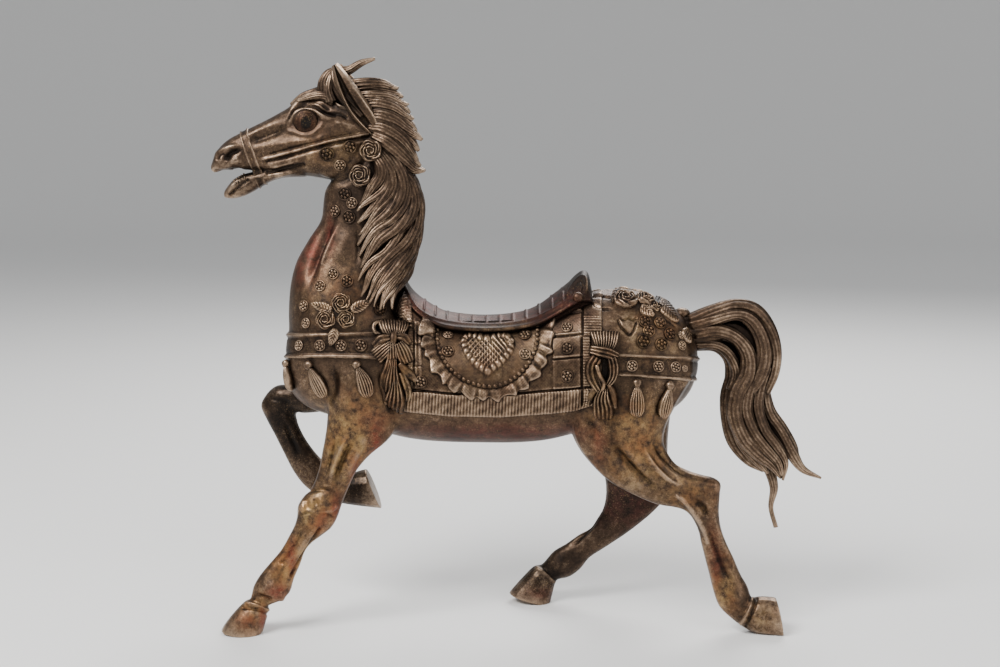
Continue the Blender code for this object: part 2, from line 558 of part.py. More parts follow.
def largest(piece):
    """Keeps the outer shell only."""
    form = bmesh.new()
    form.from_mesh(piece.data)
    left = set(form.verts)
    shells = []
    while left:
        shell = [left.pop()]
        for vert in shell:
            for edge in vert.link_edges:
                other = edge.other_vert(vert)
                if other in left:
                    left.remove(other)
                    shell.append(other)
        shells.append(shell)
    shells.sort(key=len)
    bmesh.ops.delete(form, geom=[v for shell in shells[:-1] for v in shell], context="VERTS")
    form.to_mesh(piece.data)
    form.free()
    return piece


def faceted(piece, faces):
    """Draws the form together into so many triangles, most of them where it turns most."""
    count = sum(len(face.vertices) - 2 for face in piece.data.polygons)
    thin = piece.modifiers.new("thin", "DECIMATE")
    thin.ratio = faces / count
    thin.use_collapse_triangulate = True
    applied(piece)
    return piece


def applied(piece):
    """Takes the modifiers into the mesh."""
    depsgraph = bpy.context.evaluated_depsgraph_get()
    done = bpy.data.meshes.new_from_object(piece.evaluated_get(depsgraph))
    piece.modifiers.clear()
    spare = piece.data
    piece.data = done
    bpy.data.meshes.remove(spare)


def stand(piece):
    """Files the soles flat where they meet the ground."""
    form = bmesh.new()
    form.from_mesh(piece.data)
    bmesh.ops.bisect_plane(
        form, geom=form.verts[:] + form.edges[:] + form.faces[:], dist=1e-6,
        plane_co=(0, 0, 0), plane_no=(0, 0, 1), clear_inner=True)
    rim = [edge for edge in form.edges if edge.is_boundary]
    bmesh.ops.holes_fill(form, edges=rim, sides=0)
    bmesh.ops.dissolve_degenerate(form, edges=form.edges[:], dist=2e-5)
    bmesh.ops.triangulate(form, faces=form.faces[:])
    bmesh.ops.recalc_face_normals(form, faces=form.faces[:])
    form.to_mesh(piece.data)
    form.free()


def settle(piece):
    """Brings the middle of the footprint over the origin."""
    low = [min(vert.co[i] for vert in piece.data.vertices) for i in range(3)]
    high = [max(vert.co[i] for vert in piece.data.vertices) for i in range(3)]
    shift = Vector((-(low[0] + high[0]) / 2, -(low[1] + high[1]) / 2, -low[2]))
    piece.data.transform(Matrix.Translation(shift))
    return shift


def bronze():
    """Brown patina, worn to a coppery gold."""
    material = bpy.data.materials.new("bronze")
    material.use_nodes = True
    shader = material.node_tree.nodes["Principled BSDF"]
    shader.inputs["Base Color"].default_value = BRONZE_COLOUR
    shader.inputs["Metallic"].default_value = 1.0
    shader.inputs["Roughness"].default_value = BRONZE_ROUGHNESS
    return material


def main():
    for piece in list(bpy.data.objects):
        bpy.data.objects.remove(piece, do_unlink=True)
    trunk = fused("trunk", [
        limb("torso", TORSO, sides=32),
        limb("neck", NECK, sides=24),
        limb("near_fore_top", NEAR_FORE[:6]),
        limb("far_fore_top", FAR_FORE[:4]),
        limb("near_hind_top", NEAR_HIND[:7], sides=24),
        limb("far_hind_top", FAR_HIND[:4], sides=24),
    ], voxel=3.0, smoothing=12)
    body = fused("body", [
        trunk,
        limb("head", HEAD, sides=24, egg=0.12),
        limb("lower_jaw", LOWER_JAW),
        ball("near_jowl", 334, 156, -13, (24, 10, 22)),
        ball("far_jowl", 334, 156, 13, (24, 10, 22)),
        limb("near_fore", NEAR_FORE),
        limb("far_fore", FAR_FORE),
        limb("near_hind", NEAR_HIND),
        limb("far_hind", FAR_HIND),
    ], voxel=1.5, smoothing=6)
    dress(body)
    tree = BVHTree.FromObject(body, bpy.context.evaluated_depsgraph_get())
    hair = [limb("mane_mass", MANE_MASS)]
    hair += [lock(f"lock{i}", rows) for i, rows in enumerate(FORELOCK + CREST + MANE + TAIL)]
    hair += [lock(f"far_lock{i}", rows, far=True) for i, rows in enumerate(CREST + MANE)]
    trim = [ear("near_ear"), ear("far_ear", far=True), saddle("saddle")]
    trim += [ball("near_eye", *EYE, -EYE_OUT, EYE_RADII), ball("far_eye", *EYE, EYE_OUT, EYE_RADII)]
    trim += [rose(f"rose{i}", tree, *row) for i, row in enumerate(ROSES)]
    trim += [rose(f"far_rose{i}", tree, *row, far=True) for i, row in enumerate(FAR_ROSES)]
    for far in (False, True):
        for i, rows in enumerate(FRONT_BOW + REAR_BOW):
            trim.append(ribbon(f"bow{i}", tree, rows, far))
        for i, row in enumerate(TASSELS):
            trim.append(tassel(f"tassel{i}", tree, row, far))
    horse = fused("horse", [body] + trim + hair, voxel=1.3, smoothing=1)
    largest(horse)
    faceted(horse, FACES)
    stand(horse)
    settle(horse)
    horse.data.materials.append(bronze())
    horse.data.polygons.foreach_set("use_smooth", [True] * len(horse.data.polygons))
    return horse


main()
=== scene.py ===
# %% [markdown]
# # A carousel horse cast in bronze
# The object is a table-top figure of a fairground horse: one hollow casting, chased after the
# pour, patinated brown and rubbed back to a coppery gold where hands and cloths reach it.
# The lesson builds what the eye sees of it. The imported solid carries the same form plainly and
# is what stands, weighs and collides. Every visible piece is laid over that solid.

import math
import bpy
import bmesh
import numpy as np
from mathutils import Matrix, Vector
from mathutils.bvhtree import BVHTree


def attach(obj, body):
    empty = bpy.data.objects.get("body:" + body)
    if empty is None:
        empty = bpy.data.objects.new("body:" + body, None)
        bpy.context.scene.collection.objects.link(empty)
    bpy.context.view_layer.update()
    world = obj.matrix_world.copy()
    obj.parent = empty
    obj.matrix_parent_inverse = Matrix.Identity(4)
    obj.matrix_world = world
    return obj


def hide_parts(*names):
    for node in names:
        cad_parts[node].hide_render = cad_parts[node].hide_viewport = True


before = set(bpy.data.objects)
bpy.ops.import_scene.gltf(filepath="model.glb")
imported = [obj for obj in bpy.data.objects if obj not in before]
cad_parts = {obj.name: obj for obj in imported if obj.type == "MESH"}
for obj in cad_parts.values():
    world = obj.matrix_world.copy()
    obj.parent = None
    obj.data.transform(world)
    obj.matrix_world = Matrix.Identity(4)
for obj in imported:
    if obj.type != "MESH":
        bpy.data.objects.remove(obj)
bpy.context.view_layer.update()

# %% [markdown]
# ## A drawing to work from
# A sculptor enlarges a sketch square by square. Here the sketch is a side view, seen from a
# little above, and one square is about 0.62 mm on the figure. `spot` carries a square of the
# sketch and a distance from the middle plane to its place in metres, and `drawn` goes back.
# Working this way keeps the outline of every piece true to the view it was read from.

# %% The drawing
FIGURE_HEIGHT = 0.353
SQUARES_HIGH = 565
SQUARE = FIGURE_HEIGHT / SQUARES_HIGH
VIEW_CENTRE = (500.0, 333.5)
CENTRE_ABOVE_GROUND = 292.2
EYE_DISTANCE = 1667.0
EYE_TILT = math.radians(8.0)
# The origin lies under the middle of the figure, a little off the middle of the sketch.
ORIGIN = Vector((-0.01262772, 0.00040837, 0.0))


def spot(u, v, y=0.0):
    """The place of a square of the sketch, y squares beyond the middle plane."""
    cos_tilt, sin_tilt = math.cos(EYE_TILT), math.sin(EYE_TILT)
    rise = (VIEW_CENTRE[1] - v) / EYE_DISTANCE
    reach = (y + EYE_DISTANCE * cos_tilt) / (cos_tilt + sin_tilt * rise)
    x = reach * (u - VIEW_CENTRE[0]) / EYE_DISTANCE
    z = CENTRE_ABOVE_GROUND + EYE_DISTANCE * sin_tilt + reach * (cos_tilt * rise - sin_tilt)
    return Vector((x, y, z)) * SQUARE + ORIGIN


def drawn(points):
    """The squares of the sketch that an array of places falls on."""
    cos_tilt, sin_tilt = math.cos(EYE_TILT), math.sin(EYE_TILT)
    x, y, z = ((points - np.array(ORIGIN)) / SQUARE).T
    z = z - CENTRE_ABOVE_GROUND
    depth = EYE_DISTANCE + y * cos_tilt - z * sin_tilt
    rise = z * cos_tilt + y * sin_tilt
    return np.stack([
        VIEW_CENTRE[0] + EYE_DISTANCE * x / depth,
        VIEW_CENTRE[1] - EYE_DISTANCE * rise / depth], axis=1)


def across(points):
    """Places on the far side carried over to the near side."""
    near = points.copy()
    near[:, 1] = ORIGIN.y - np.abs(points[:, 1] - ORIGIN.y)
    return near


def other_side(point):
    """One place carried to the opposite side of the middle plane."""
    return Vector((point.x, 2 * ORIGIN.y - point.y, point.z))


print("one square is", round(SQUARE * 1000, 3), "mm")

# %% [markdown]
# ## Tools
# Limbs are skins stretched over rings, and each ring is read off the sketch as a pair of edge
# points. Rings between them follow a smooth curve. The skins are then melted together with
# the Remesh modifier, as wax is worked together on a core, which leaves one closed surface.

# %% Curves and meshes
def spline(rows, steps):
    """Rows of numbers with smooth rows put between them."""
    table = np.array(rows, dtype=float)
    padded = np.vstack([2 * table[0] - table[1], table, 2 * table[-1] - table[-2]])
    dense = []
    for i in range(1, len(padded) - 2):
        a, b, c, d = padded[i - 1:i + 3]
        for k in range(steps):
            t = k / steps
            dense.append(0.5 * (
                2 * b + (c - a) * t + (2 * a - 5 * b + 4 * c - d) * t * t
                + (3 * b - a - 3 * c + d) * t ** 3))
    dense.append(table[-1])
    return [tuple(row) for row in dense]


def in_scene(name, data):
    """A new object in the scene, from its mesh, lamp or camera."""
    thing = bpy.data.objects.new(name, data)
    bpy.context.scene.collection.objects.link(thing)
    return thing


def smoothed(mesh):
    """Shades all the faces of a mesh smooth."""
    mesh.polygons.foreach_set("use_smooth", [True] * len(mesh.polygons))
    return mesh


def shaped(name, verts, faces):
    """A mesh object from its points and faces, facing outward."""
    mesh = bpy.data.meshes.new(name)
    mesh.from_pydata([tuple(v) for v in verts], [], faces)
    form = bmesh.new()
    form.from_mesh(mesh)
    bmesh.ops.recalc_face_normals(form, faces=form.faces[:])
    form.to_mesh(mesh)
    form.free()
    return in_scene(name, smoothed(mesh))


def skin(name, rings):
    """A closed skin over a row of rings."""
    sides = len(rings[0])
    verts = [point for ring in rings for point in ring]
    faces = []
    for i in range(len(rings) - 1):
        a, b = i * sides, (i + 1) * sides
        for k in range(sides):
            n = (k + 1) % sides
            faces.append((a + k, a + n, b + n, b + k))
    for i, order in ((0, -1), (len(rings) - 1, 1)):
        middle = sum(rings[i], Vector()) / sides
        verts.append(middle)
        for k in range(sides):
            faces.append((i * sides + k, i * sides + (k + 1) % sides, len(verts) - 1)[::order])
    return shaped(name, verts, faces)


print("curves and meshes ready")

# %% [markdown]
# Rings between those of the sketch follow the same smooth curve. `limb` reads its rings as pairs
# of edge points, and `ball` is for what is simply round.

# %% Rings, limbs and balls
RING_STEPS = 3
# 2 would make an oval of each ring, and more makes it squarer.
FULLNESS = 2.2


def limb(name, rows, sides=16, egg=0.0):
    """A form between two edges of the sketch."""
    power = 2 / FULLNESS
    rings = []
    for u0, v0, u1, v1, y, width in spline(rows, RING_STEPS):
        first, second = spot(u0, v0, y), spot(u1, v1, y)
        centre, reach = (first + second) / 2, (first - second) / 2
        ring = []
        for k in range(sides):
            angle = 2 * math.pi * k / sides
            c, s = math.cos(angle), math.sin(angle)
            cc = math.copysign(abs(c) ** power, c)
            ss = math.copysign(abs(s) ** power, s)
            swell = 1 - egg * c
            ring.append(centre + reach * cc + Vector((0, 1, 0)) * width * SQUARE * ss * swell)
        rings.append(ring)
    return skin(name, rings)


def ball(name, u, v, y, radii, segments=24):
    """An ellipsoid at a place of the sketch."""
    form = bmesh.new()
    bmesh.ops.create_uvsphere(form, u_segments=segments, v_segments=segments // 2, radius=1)
    bmesh.ops.transform(
        form, verts=form.verts,
        matrix=Matrix.Translation(spot(u, v, y)) @ Matrix.Diagonal((*radii, 1))
        @ Matrix.Scale(SQUARE, 4))
    mesh = bpy.data.meshes.new(name)
    form.to_mesh(mesh)
    form.free()
    return in_scene(name, smoothed(mesh))


print("rings are fitted with", RING_STEPS, "steps between rows")

# %% [markdown]
# Melting is done by a Remesh modifier and a Smooth modifier, whose result is baked into the mesh.
# A Decimate modifier then draws the dense result together.

# %% Melting and thinning
def baked(piece):
    """Takes an object's modifiers into its mesh."""
    depsgraph = bpy.context.evaluated_depsgraph_get()
    done = bpy.data.meshes.new_from_object(piece.evaluated_get(depsgraph))
    piece.modifiers.clear()
    spare, piece.data = piece.data, done
    bpy.data.meshes.remove(spare)
    return piece


def gathered(name, pieces):
    """Several objects as one, without melting them."""
    form = bmesh.new()
    for piece in pieces:
        form.from_mesh(piece.data)
    mesh = bpy.data.meshes.new(name)
    form.to_mesh(mesh)
    form.free()
    for piece in pieces:
        spare = piece.data
        bpy.data.objects.remove(piece, do_unlink=True)
        bpy.data.meshes.remove(spare)
    return in_scene(name, mesh)


def melted(name, pieces, voxel, smoothing):
    """Several skins melted into one closed form."""
    whole = gathered(name, pieces)
    remesh = whole.modifiers.new("melt", "REMESH")
    remesh.mode = "VOXEL"
    remesh.voxel_size = voxel * SQUARE
    remesh.use_smooth_shade = True
    soften = whole.modifiers.new("soften", "SMOOTH")
    soften.factor = 0.5
    soften.iterations = smoothing
    return baked(whole)


def thinned(piece, triangles):
    """Draws a dense form together, keeping most triangles where it turns most."""
    count = sum(len(face.vertices) - 2 for face in piece.data.polygons)
    if count <= triangles:
        return piece
    thin = piece.modifiers.new("thin", "DECIMATE")
    thin.ratio = triangles / count
    smoothed(baked(piece).data)
    return piece


def heading(places, i):
    """The way a row of places runs at one of them."""
    return places[min(i + 1, len(places) - 1)] - places[max(i - 1, 0)]


def columns(mesh, what="co"):
    """A mesh's places or normals as an array."""
    values = np.empty(len(mesh.vertices) * 3)
    mesh.vertices.foreach_get(what, values)
    return values.reshape(-1, 3)


print("tools ready")

# %% [markdown]
# ## Chasing
# After casting, the founder cuts the lids, folds and tendons with small chisels. A stroke here is
# a line on the sketch with a breadth and a height, positive for a ridge and negative for a cut.
# It moves the points of a finished form along their own normals, so it works on any form.

# %% Tools for chasing
FAR_AWAY = 1e9
TINY = 1e-9


def nearest(at, path):
    """How far each place is from a path, how far along the path it is, and the path's length."""
    gaps, run_at, run = np.full(len(at), FAR_AWAY), np.zeros(len(at)), 0.0
    for a, b in zip(path[:-1], path[1:]):
        along = b - a
        length = np.linalg.norm(along)
        share = np.clip(((at - a) @ along) / max(length ** 2, TINY), 0, 1)
        gap = np.linalg.norm(at - a - share[:, None] * along, axis=1)
        run_at = np.where(gap < gaps, run + share * length, run_at)
        gaps = np.minimum(gaps, gap)
        run += length
    return gaps, run_at, run


def near_line(at, path, breadth):
    """1 on a line of the sketch, fading to 0 beside it. Broad lines also fade at their ends."""
    points = np.array(spline(path, 4))
    low, high = points.min(0) - 3 * breadth, points.max(0) + 3 * breadth
    level = np.zeros(len(at))
    picked = np.nonzero(((at > low) & (at < high)).all(axis=1))[0]
    gaps, run_at, _ = nearest(at[picked], points)
    total = np.linalg.norm(np.diff(points, axis=0), axis=1).sum()
    place = run_at / max(total, TINY)
    ends = 0.35 if breadth > 1.9 else 0.06
    fade = np.clip(np.minimum(place, 1 - place) / ends, 0, 1)
    level[picked] = np.exp(-(gaps / breadth) ** 2) * fade * fade * (3 - 2 * fade)
    return level


def on(side, rows):
    """Strokes or spots, with the side they are on put in front."""
    return [(side, *row) for row in rows]


def in_spot(at, centre, radii):
    """1 in the middle of an oval of the sketch, fading to 0 at its edge."""
    gap = ((at - np.array(centre)) / np.array(radii)) ** 2
    return np.exp(-gap.sum(axis=1))


def chase(piece, lines, spots=(), strength=1.0):
    """Cuts and raises lines and spots: each with the side it is on, near, far or both."""
    mesh = piece.data
    points, normals = columns(mesh), columns(mesh, "normal")
    is_near = points[:, 1] < ORIGIN.y
    seen = {"near": drawn(points), "both": drawn(across(points))}
    seen["far"] = seen["near"]
    allowed = {"near": is_near, "both": np.ones(len(points), bool), "far": ~is_near}
    lift = np.zeros(len(points))
    for side, breadth, height, path in lines:
        lift += height * near_line(seen[side], path, breadth) * allowed[side]
    for side, height, centre, radii in spots:
        lift += height * in_spot(seen[side], centre, radii) * allowed[side]
    mesh.vertices.foreach_set("co", (points + normals * (lift * SQUARE * strength)[:, None]).ravel())
    mesh.update()
    return piece


print("chasing tools ready")

# %% [markdown]
# ## The horse's body
# Trunk, neck, head and legs are one skin on the real figure, so they are one piece here. The
# trunk is melted first and softened most, which lets neck, shoulders and haunches run into it,
# and the finer head and legs are melted on after. The rows are pairs of edge points of the
# sketch, the distance from the middle plane and half the width.

# %% Body rows
def upright(rows):
    """Rows whose two edge points stand one over the other in the middle plane."""
    return [(u, top, u, bottom, 0, width) for u, top, bottom, width in rows]


def midline(rows):
    """Rows of edge points in the middle plane."""
    return [(*edges, 0, width) for *edges, width in rows]


BODY_VOXEL = 0.85
BODY_SOFTENING = 9
BODY_TRIANGLES = 165000
CHASING_DEPTH = 1.15
TORSO = upright([
    (287, 343, 374, 10), (291, 326, 388, 27), (300, 312, 400, 39), (315, 302, 409, 47),
    (335, 297, 415, 52), (360, 295, 422, 55), (385, 299, 431, 57), (410, 310, 437, 59),
    (440, 319, 440, 61), (480, 322, 441, 62), (520, 319, 441, 61), (550, 309, 438, 59),
    (575, 298, 432, 58), (600, 290, 428, 58), (625, 289, 424, 57), (648, 294, 418, 54),
    (668, 303, 410, 48), (682, 315, 400, 38), (692, 331, 386, 25), (697, 345, 370, 10),
])
NECK = midline([
    (338, 172, 378, 112, 20), (325, 190, 400, 132, 23), (323, 205, 408, 162, 25),
    (321, 220, 411, 190, 27), (313, 236, 412, 219, 29), (301, 256, 410, 245, 33),
    (292, 276, 407, 268, 39), (289, 300, 403, 293, 46), (289, 325, 400, 318, 51),
    (291, 352, 398, 350, 51),
])
HEAD = midline([
    (374, 106, 388, 160, 17), (347, 97, 362, 174, 22), (323, 98, 338, 180, 24),
    (304, 101, 314, 177, 24), (288, 108, 297, 175, 21), (270, 118, 280, 174, 17.5),
    (252, 127, 263, 171, 15.5), (240, 133, 250, 170, 15), (229, 139, 239, 170, 15),
    (220, 147, 228, 171, 13.5), (214, 158, 219, 172, 10.5), (211, 166, 213, 172, 6),
])
LOWER_JAW = midline([
    (303, 160, 306, 177, 14), (278, 165, 283, 178, 12), (261, 170, 266, 184, 11),
    (249, 172.5, 255, 191, 10.5), (241, 175, 245, 196, 10.5), (233.5, 179.5, 235, 198.5, 9.5),
    (228, 186, 228.5, 198.5, 7.5), (224.5, 191, 224.5, 197.5, 4.5),
])
WITHERS = upright([
    (394, 288, 332, 26), (402, 289, 334, 31), (410, 296, 338, 36), (420, 305, 344, 41),
    (434, 312, 350, 43),
])
print("rows of trunk, neck and head", len(TORSO + NECK + HEAD + LOWER_JAW + WITHERS))

# %% Leg rows
NEAR_FORE = [
    (320, 330, 378, 330, -34, 14), (324, 370, 392, 370, -36, 20), (327, 402, 399, 406, -37, 20),
    (327, 421, 399, 424, -38, 18), (325, 437, 387, 441, -39, 16), (322, 453, 371, 454, -40, 14),
    (319, 468, 357, 470, -41, 12.5), (313, 485, 349, 487, -42, 12), (302, 499, 342, 504, -43, 13),
    (298, 512, 338, 516, -44, 13.5), (295, 524, 331, 528, -45, 12.5),
    (289, 536, 317, 539, -46, 10.5), (281, 550, 307, 552, -47, 9), (270, 563, 300, 566, -48, 9.5),
    (260, 575, 294, 579, -49, 10.5), (254, 585, 290, 592, -50, 11.5),
    (252, 592, 281, 600, -50, 10.5), (250, 599, 269, 605, -51, 10), (244, 602, 269, 610, -51, 13),
    (235, 611, 267, 618, -52, 16), (226, 622, 264, 628, -52, 18), (221, 630, 262, 634, -52, 19),
]
FAR_FORE = [
    (356, 356, 350, 405, 28, 18), (325, 366, 325, 411, 33, 19), (305, 377, 306, 413, 37, 17),
    (290, 384, 299, 412, 39, 14.5), (277, 386, 297, 413, 40, 13), (267, 394, 296, 415, 41, 12.5),
    (261, 405, 297, 419, 41, 12), (266, 418, 299, 426, 41, 10.5), (275, 435, 305, 438, 41, 9),
    (285, 455, 315, 452, 41, 9), (294, 472, 325, 462, 41, 10.5), (306, 487, 337, 468, 41, 11),
    (322, 497, 344, 470, 41, 10.5), (337, 502, 350, 474, 41, 12), (354, 505, 358, 471, 41, 15),
    (382, 508, 366, 469, 41, 17.5),
]
NEAR_HIND = [
    (592, 318, 688, 340, -30, 12), (578, 370, 694, 372, -34, 22), (570, 402, 681, 396, -35, 25),
    (570, 427, 667, 422, -36, 25), (578, 447, 663, 440, -37, 23), (592, 465, 668, 453, -38, 20),
    (609, 481, 677, 464, -40, 17), (632, 494, 690, 471, -41, 14.5), (656, 504, 703, 475, -42, 13),
    (678, 508, 714, 478, -43, 12), (689, 514, 720, 487, -44, 12), (697, 527, 719, 511, -45, 10.5),
    (701, 541, 722, 534, -46, 9.5), (705, 557, 730, 553, -47, 9), (709, 573, 738, 570, -48, 9),
    (713, 590, 747, 585, -49, 10), (719, 606, 750, 594, -50, 11.5), (731, 618, 753, 598, -51, 12),
    (742, 626, 760, 597, -52, 14), (756, 633, 768, 597, -52, 16), (783, 637, 776, 598, -52, 18),
]
FAR_HIND = [
    (596, 350, 676, 350, 30, 18), (588, 400, 672, 400, 34, 22), (592, 440, 668, 440, 38, 19),
    (603, 470, 668, 468, 41, 16), (606, 492, 667, 492, 43, 14), (602, 511, 657, 508, 44, 12.5),
    (590, 526, 632, 529, 45, 11), (578, 535, 607, 546, 46, 9.5), (566, 544, 590, 557, 47, 9),
    (554, 551, 581, 568, 49, 10.5), (546, 560, 570, 576, 50, 11), (541, 565, 558, 579, 51, 10),
    (533, 567, 555, 584, 51, 13), (522, 578, 553, 592, 52, 16), (512, 589, 551, 600, 52, 17.5),
    (509, 593, 551, 604, 52, 18),
]
print("rows of the legs", len(NEAR_FORE + FAR_FORE + NEAR_HIND + FAR_HIND))

# %% [markdown]
# ### What the chisel did to the body
# Lids and brow, nostril and lips, the ridge down the face, the jugular groove, the muscles of
# shoulder and thigh, the tendons below knee and hock, and the coronets over the hooves.

# %% Strokes on the head
HEAD_LINES = on("both", [
    # breadth, height, path: the eye and brow
    (2.4, 2.6, [(288, 112), (296, 104.5), (308, 100), (320, 98), (332, 97)]),
    (1.6, -1.6, [(291, 113), (299, 107), (309, 103.5), (320, 105), (330, 111)]),
    (2.6, 3.4, [(285, 130), (290, 121), (297, 113.5), (306, 110.5), (315, 112), (323, 116.5),
                (333, 119), (342, 119)]),
    (1.8, 0.5, [(285, 130), (293, 132), (301, 134.5), (311, 134), (319, 128), (324, 121)]),
    (4.5, 1.4, [(286, 120), (294, 109), (305, 103), (318, 106), (330, 113)]),
    (1.5, -2.4, [(288, 120), (295, 110), (305, 106), (316, 107.5), (326, 113.5), (337, 116)]),
    (2.2, -0.5, [(290, 132), (298, 137.5), (308, 139), (318, 136), (326, 129)]),
    (1.5, -1.2, [(322, 111), (332, 114), (341, 114.5), (348, 119)]),
    (3.0, 1.2, [(330, 122), (345, 124), (358, 128)]),
    (1.4, 2.4, [(332, 92), (334, 100), (339, 106), (349, 109), (359, 112), (367, 120)]),
    (1.8, -1.6, [(337, 97), (343, 103), (352, 105), (361, 109)]),
    # the ridge down the face, and the hollow over it
    (4.5, -3.4, [(288, 124), (277, 131), (265, 136), (254, 140), (244, 145)]),
    (5.0, 1.6, [(256, 147), (275, 146), (295, 142), (315, 139), (335, 135)]),
    (3.0, 0.9, [(284, 116), (270, 124), (256, 131), (244, 137), (232, 143)]),
    # cheek strap: two raised edges with a channel between
    (1.3, 1.6, [(258, 160), (275, 156), (300, 149.5), (330, 141), (350, 137), (374, 133)]),
    (1.3, -1.4, [(262, 163), (280, 158.5), (300, 153), (330, 144.5), (350, 140.5), (373, 137)]),
    (1.1, 1.0, [(264, 166), (280, 161.5), (300, 156.5), (330, 148), (350, 144), (371, 141)]),
    (1.3, -1.2, [(264, 156), (285, 150), (310, 143.5), (335, 137), (360, 132.5)]),
    # jaw bars
    (2.2, 1.9, [(265, 169), (285, 163.5), (304, 159)]),
    (1.8, -1.7, [(265, 173.5), (285, 168.5), (306, 164)]),
    (2.0, 1.5, [(268, 178), (286, 173.5), (302, 170)]),
    # muzzle and mouth
    (2.2, 2.0, [(214, 163), (217, 155), (222, 150.5), (231, 147), (243, 145)]),
    (2.4, -3.4, [(225.5, 158), (229, 154), (235, 151), (242, 149)]),
    (3.2, 1.5, [(226, 165), (234, 161), (243, 160)]),
    (1.2, -1.7, [(213, 170.5), (223, 171), (233, 169.5), (240, 170), (246, 172.5)]),
    (1.5, 1.5, [(213, 173), (223, 173.5), (234, 171.5)]),
    (2.2, 1.5, [(226, 193), (231, 187.5), (236, 182.5), (243, 177)]),
    (1.5, -1.3, [(229, 196), (235, 190.5), (242, 184.5), (249, 179)]),
    (1.2, -1.2, [(217, 160), (220, 155.5), (224, 153)]),
])
print("strokes on the head", len(HEAD_LINES))

# %% Strokes on neck and forelegs
FRONT_LINES = on("both", [
    # the back of the jaw, the throat and the neck
    (4.0, -3.0, [(366, 140), (366, 158), (356, 171), (342, 181), (328, 184)]),
    (4.6, -5.0, [(334, 208), (329, 226), (320, 248), (313, 268), (307, 292)]),
    (2.6, 1.9, [(338, 222), (331, 240), (323, 258), (317, 276)]),
    (4.0, 1.8, [(322, 214), (311, 240), (300, 262), (294, 285)]),
    (7.0, 1.4, [(346, 228), (342, 248), (336, 266)]),
    (3.0, -1.6, [(356, 222), (358, 245), (356, 268)]),
]) + on("near", [
    # breast and forearm
    (4.5, -3.6, [(330, 362), (334, 380), (333, 394), (329, 408)]),
    (4.0, -3.2, [(378, 364), (384, 385), (391, 405), (400, 424)]),
    (2.6, -3.4, [(356, 436), (346, 453), (338, 472), (333, 488)]),
    (2.2, 2.2, [(350, 425), (341, 447), (333, 468), (329, 488)]),
    (2.2, -2.2, [(336, 432), (330, 455), (325, 476)]),
    (2.2, 2.2, [(364, 444), (354, 460), (345, 480)]),
    # knee, cannon, fetlock and hoof of the planted foreleg
    (2.6, -1.9, [(303, 494), (314, 490), (326, 490), (338, 494)]),
    (1.6, -1.1, [(300, 515), (310, 512.5), (322, 513), (334, 517)]),
    (1.6, 1.5, [(304, 499), (305, 508), (314, 512), (328, 512), (338, 505)]),
    (1.8, -2.8, [(321, 527), (310, 545), (299, 562), (290, 578)]),
    (2.0, 1.5, [(312, 530), (301, 547), (289, 564), (281, 578)]),
    (1.8, -1.4, [(301, 531), (292, 548), (280, 565)]),
    (2.0, -1.8, [(255, 594), (264, 597), (274, 602)]),
    (1.7, 1.9, [(244, 604), (253, 604), (262, 607), (269, 611)]),
    (1.4, -1.4, [(241, 608), (252, 608.5), (262, 611), (269, 615)]),
])
print("strokes on neck and forelegs", len(FRONT_LINES))

# %% Strokes on hind legs, far legs and croup
REAR_LINES = on("near", [
    # haunch and thigh
    (4.0, -2.6, [(585, 408), (592, 426), (601, 444)]),
    (4.2, -4.0, [(607, 430), (616, 449), (634, 470), (652, 486), (668, 492)]),
    (2.4, 3.0, [(640, 442), (652, 462), (667, 478), (688, 491)]),
    (5.0, 2.0, [(622, 438), (634, 458), (650, 474)]),
    (3.0, -2.8, [(650, 434), (661, 453), (678, 470), (696, 482)]),
    # hock and cannon of the near hind leg
    (3.6, -3.6, [(692, 499), (703, 509), (709, 522)]),
    (1.8, 2.2, [(674, 494), (684, 501), (694, 513), (703, 528), (709, 546)]),
    (2.4, 2.2, [(712, 508), (720, 536), (731, 560), (742, 580)]),
    (2.2, -2.4, [(707, 522), (714, 546), (724, 570), (734, 588)]),
    (1.8, 1.2, [(702, 536), (708, 560), (715, 584)]),
    (1.8, 1.9, [(753, 597), (750, 608), (745, 618), (740, 625)]),
    (1.4, -1.4, [(757, 597), (754, 609), (749, 620), (745, 628)]),
]) + on("far", [
    # the far legs
    (1.8, 1.8, [(346, 473), (343, 484), (338, 494), (334, 501)]),
    (1.8, 1.8, [(555, 583), (546, 574), (535, 567)]),
    (2.4, -1.8, [(284, 420), (292, 440), (301, 458)]),
    (2.6, -2.2, [(600, 516), (584, 534), (568, 550)]),
    (3.0, -2.2, [(268, 398), (280, 400), (293, 404)]),
]) + on("both", [
    # the croup behind the saddle
    (1.3, -1.6, [(592, 305), (599, 309), (611, 309)]),
    (1.2, -1.3, [(592, 297), (600, 296.5), (611, 298)]),
    (1.2, -1.3, [(602, 291), (610, 289.5), (617, 290)]),
]) + on("near", [
    (1.1, -1.9, [(618, 318), (620, 325), (625, 331), (630, 335), (634, 330), (637, 321)]),
    (1.1, -1.4, [(619, 317), (624, 320), (628, 318), (633, 320), (637, 317)]),
    (1.0, -1.2, [(664, 318), (670, 322), (676, 327)]),
])
print("strokes behind", len(REAR_LINES))

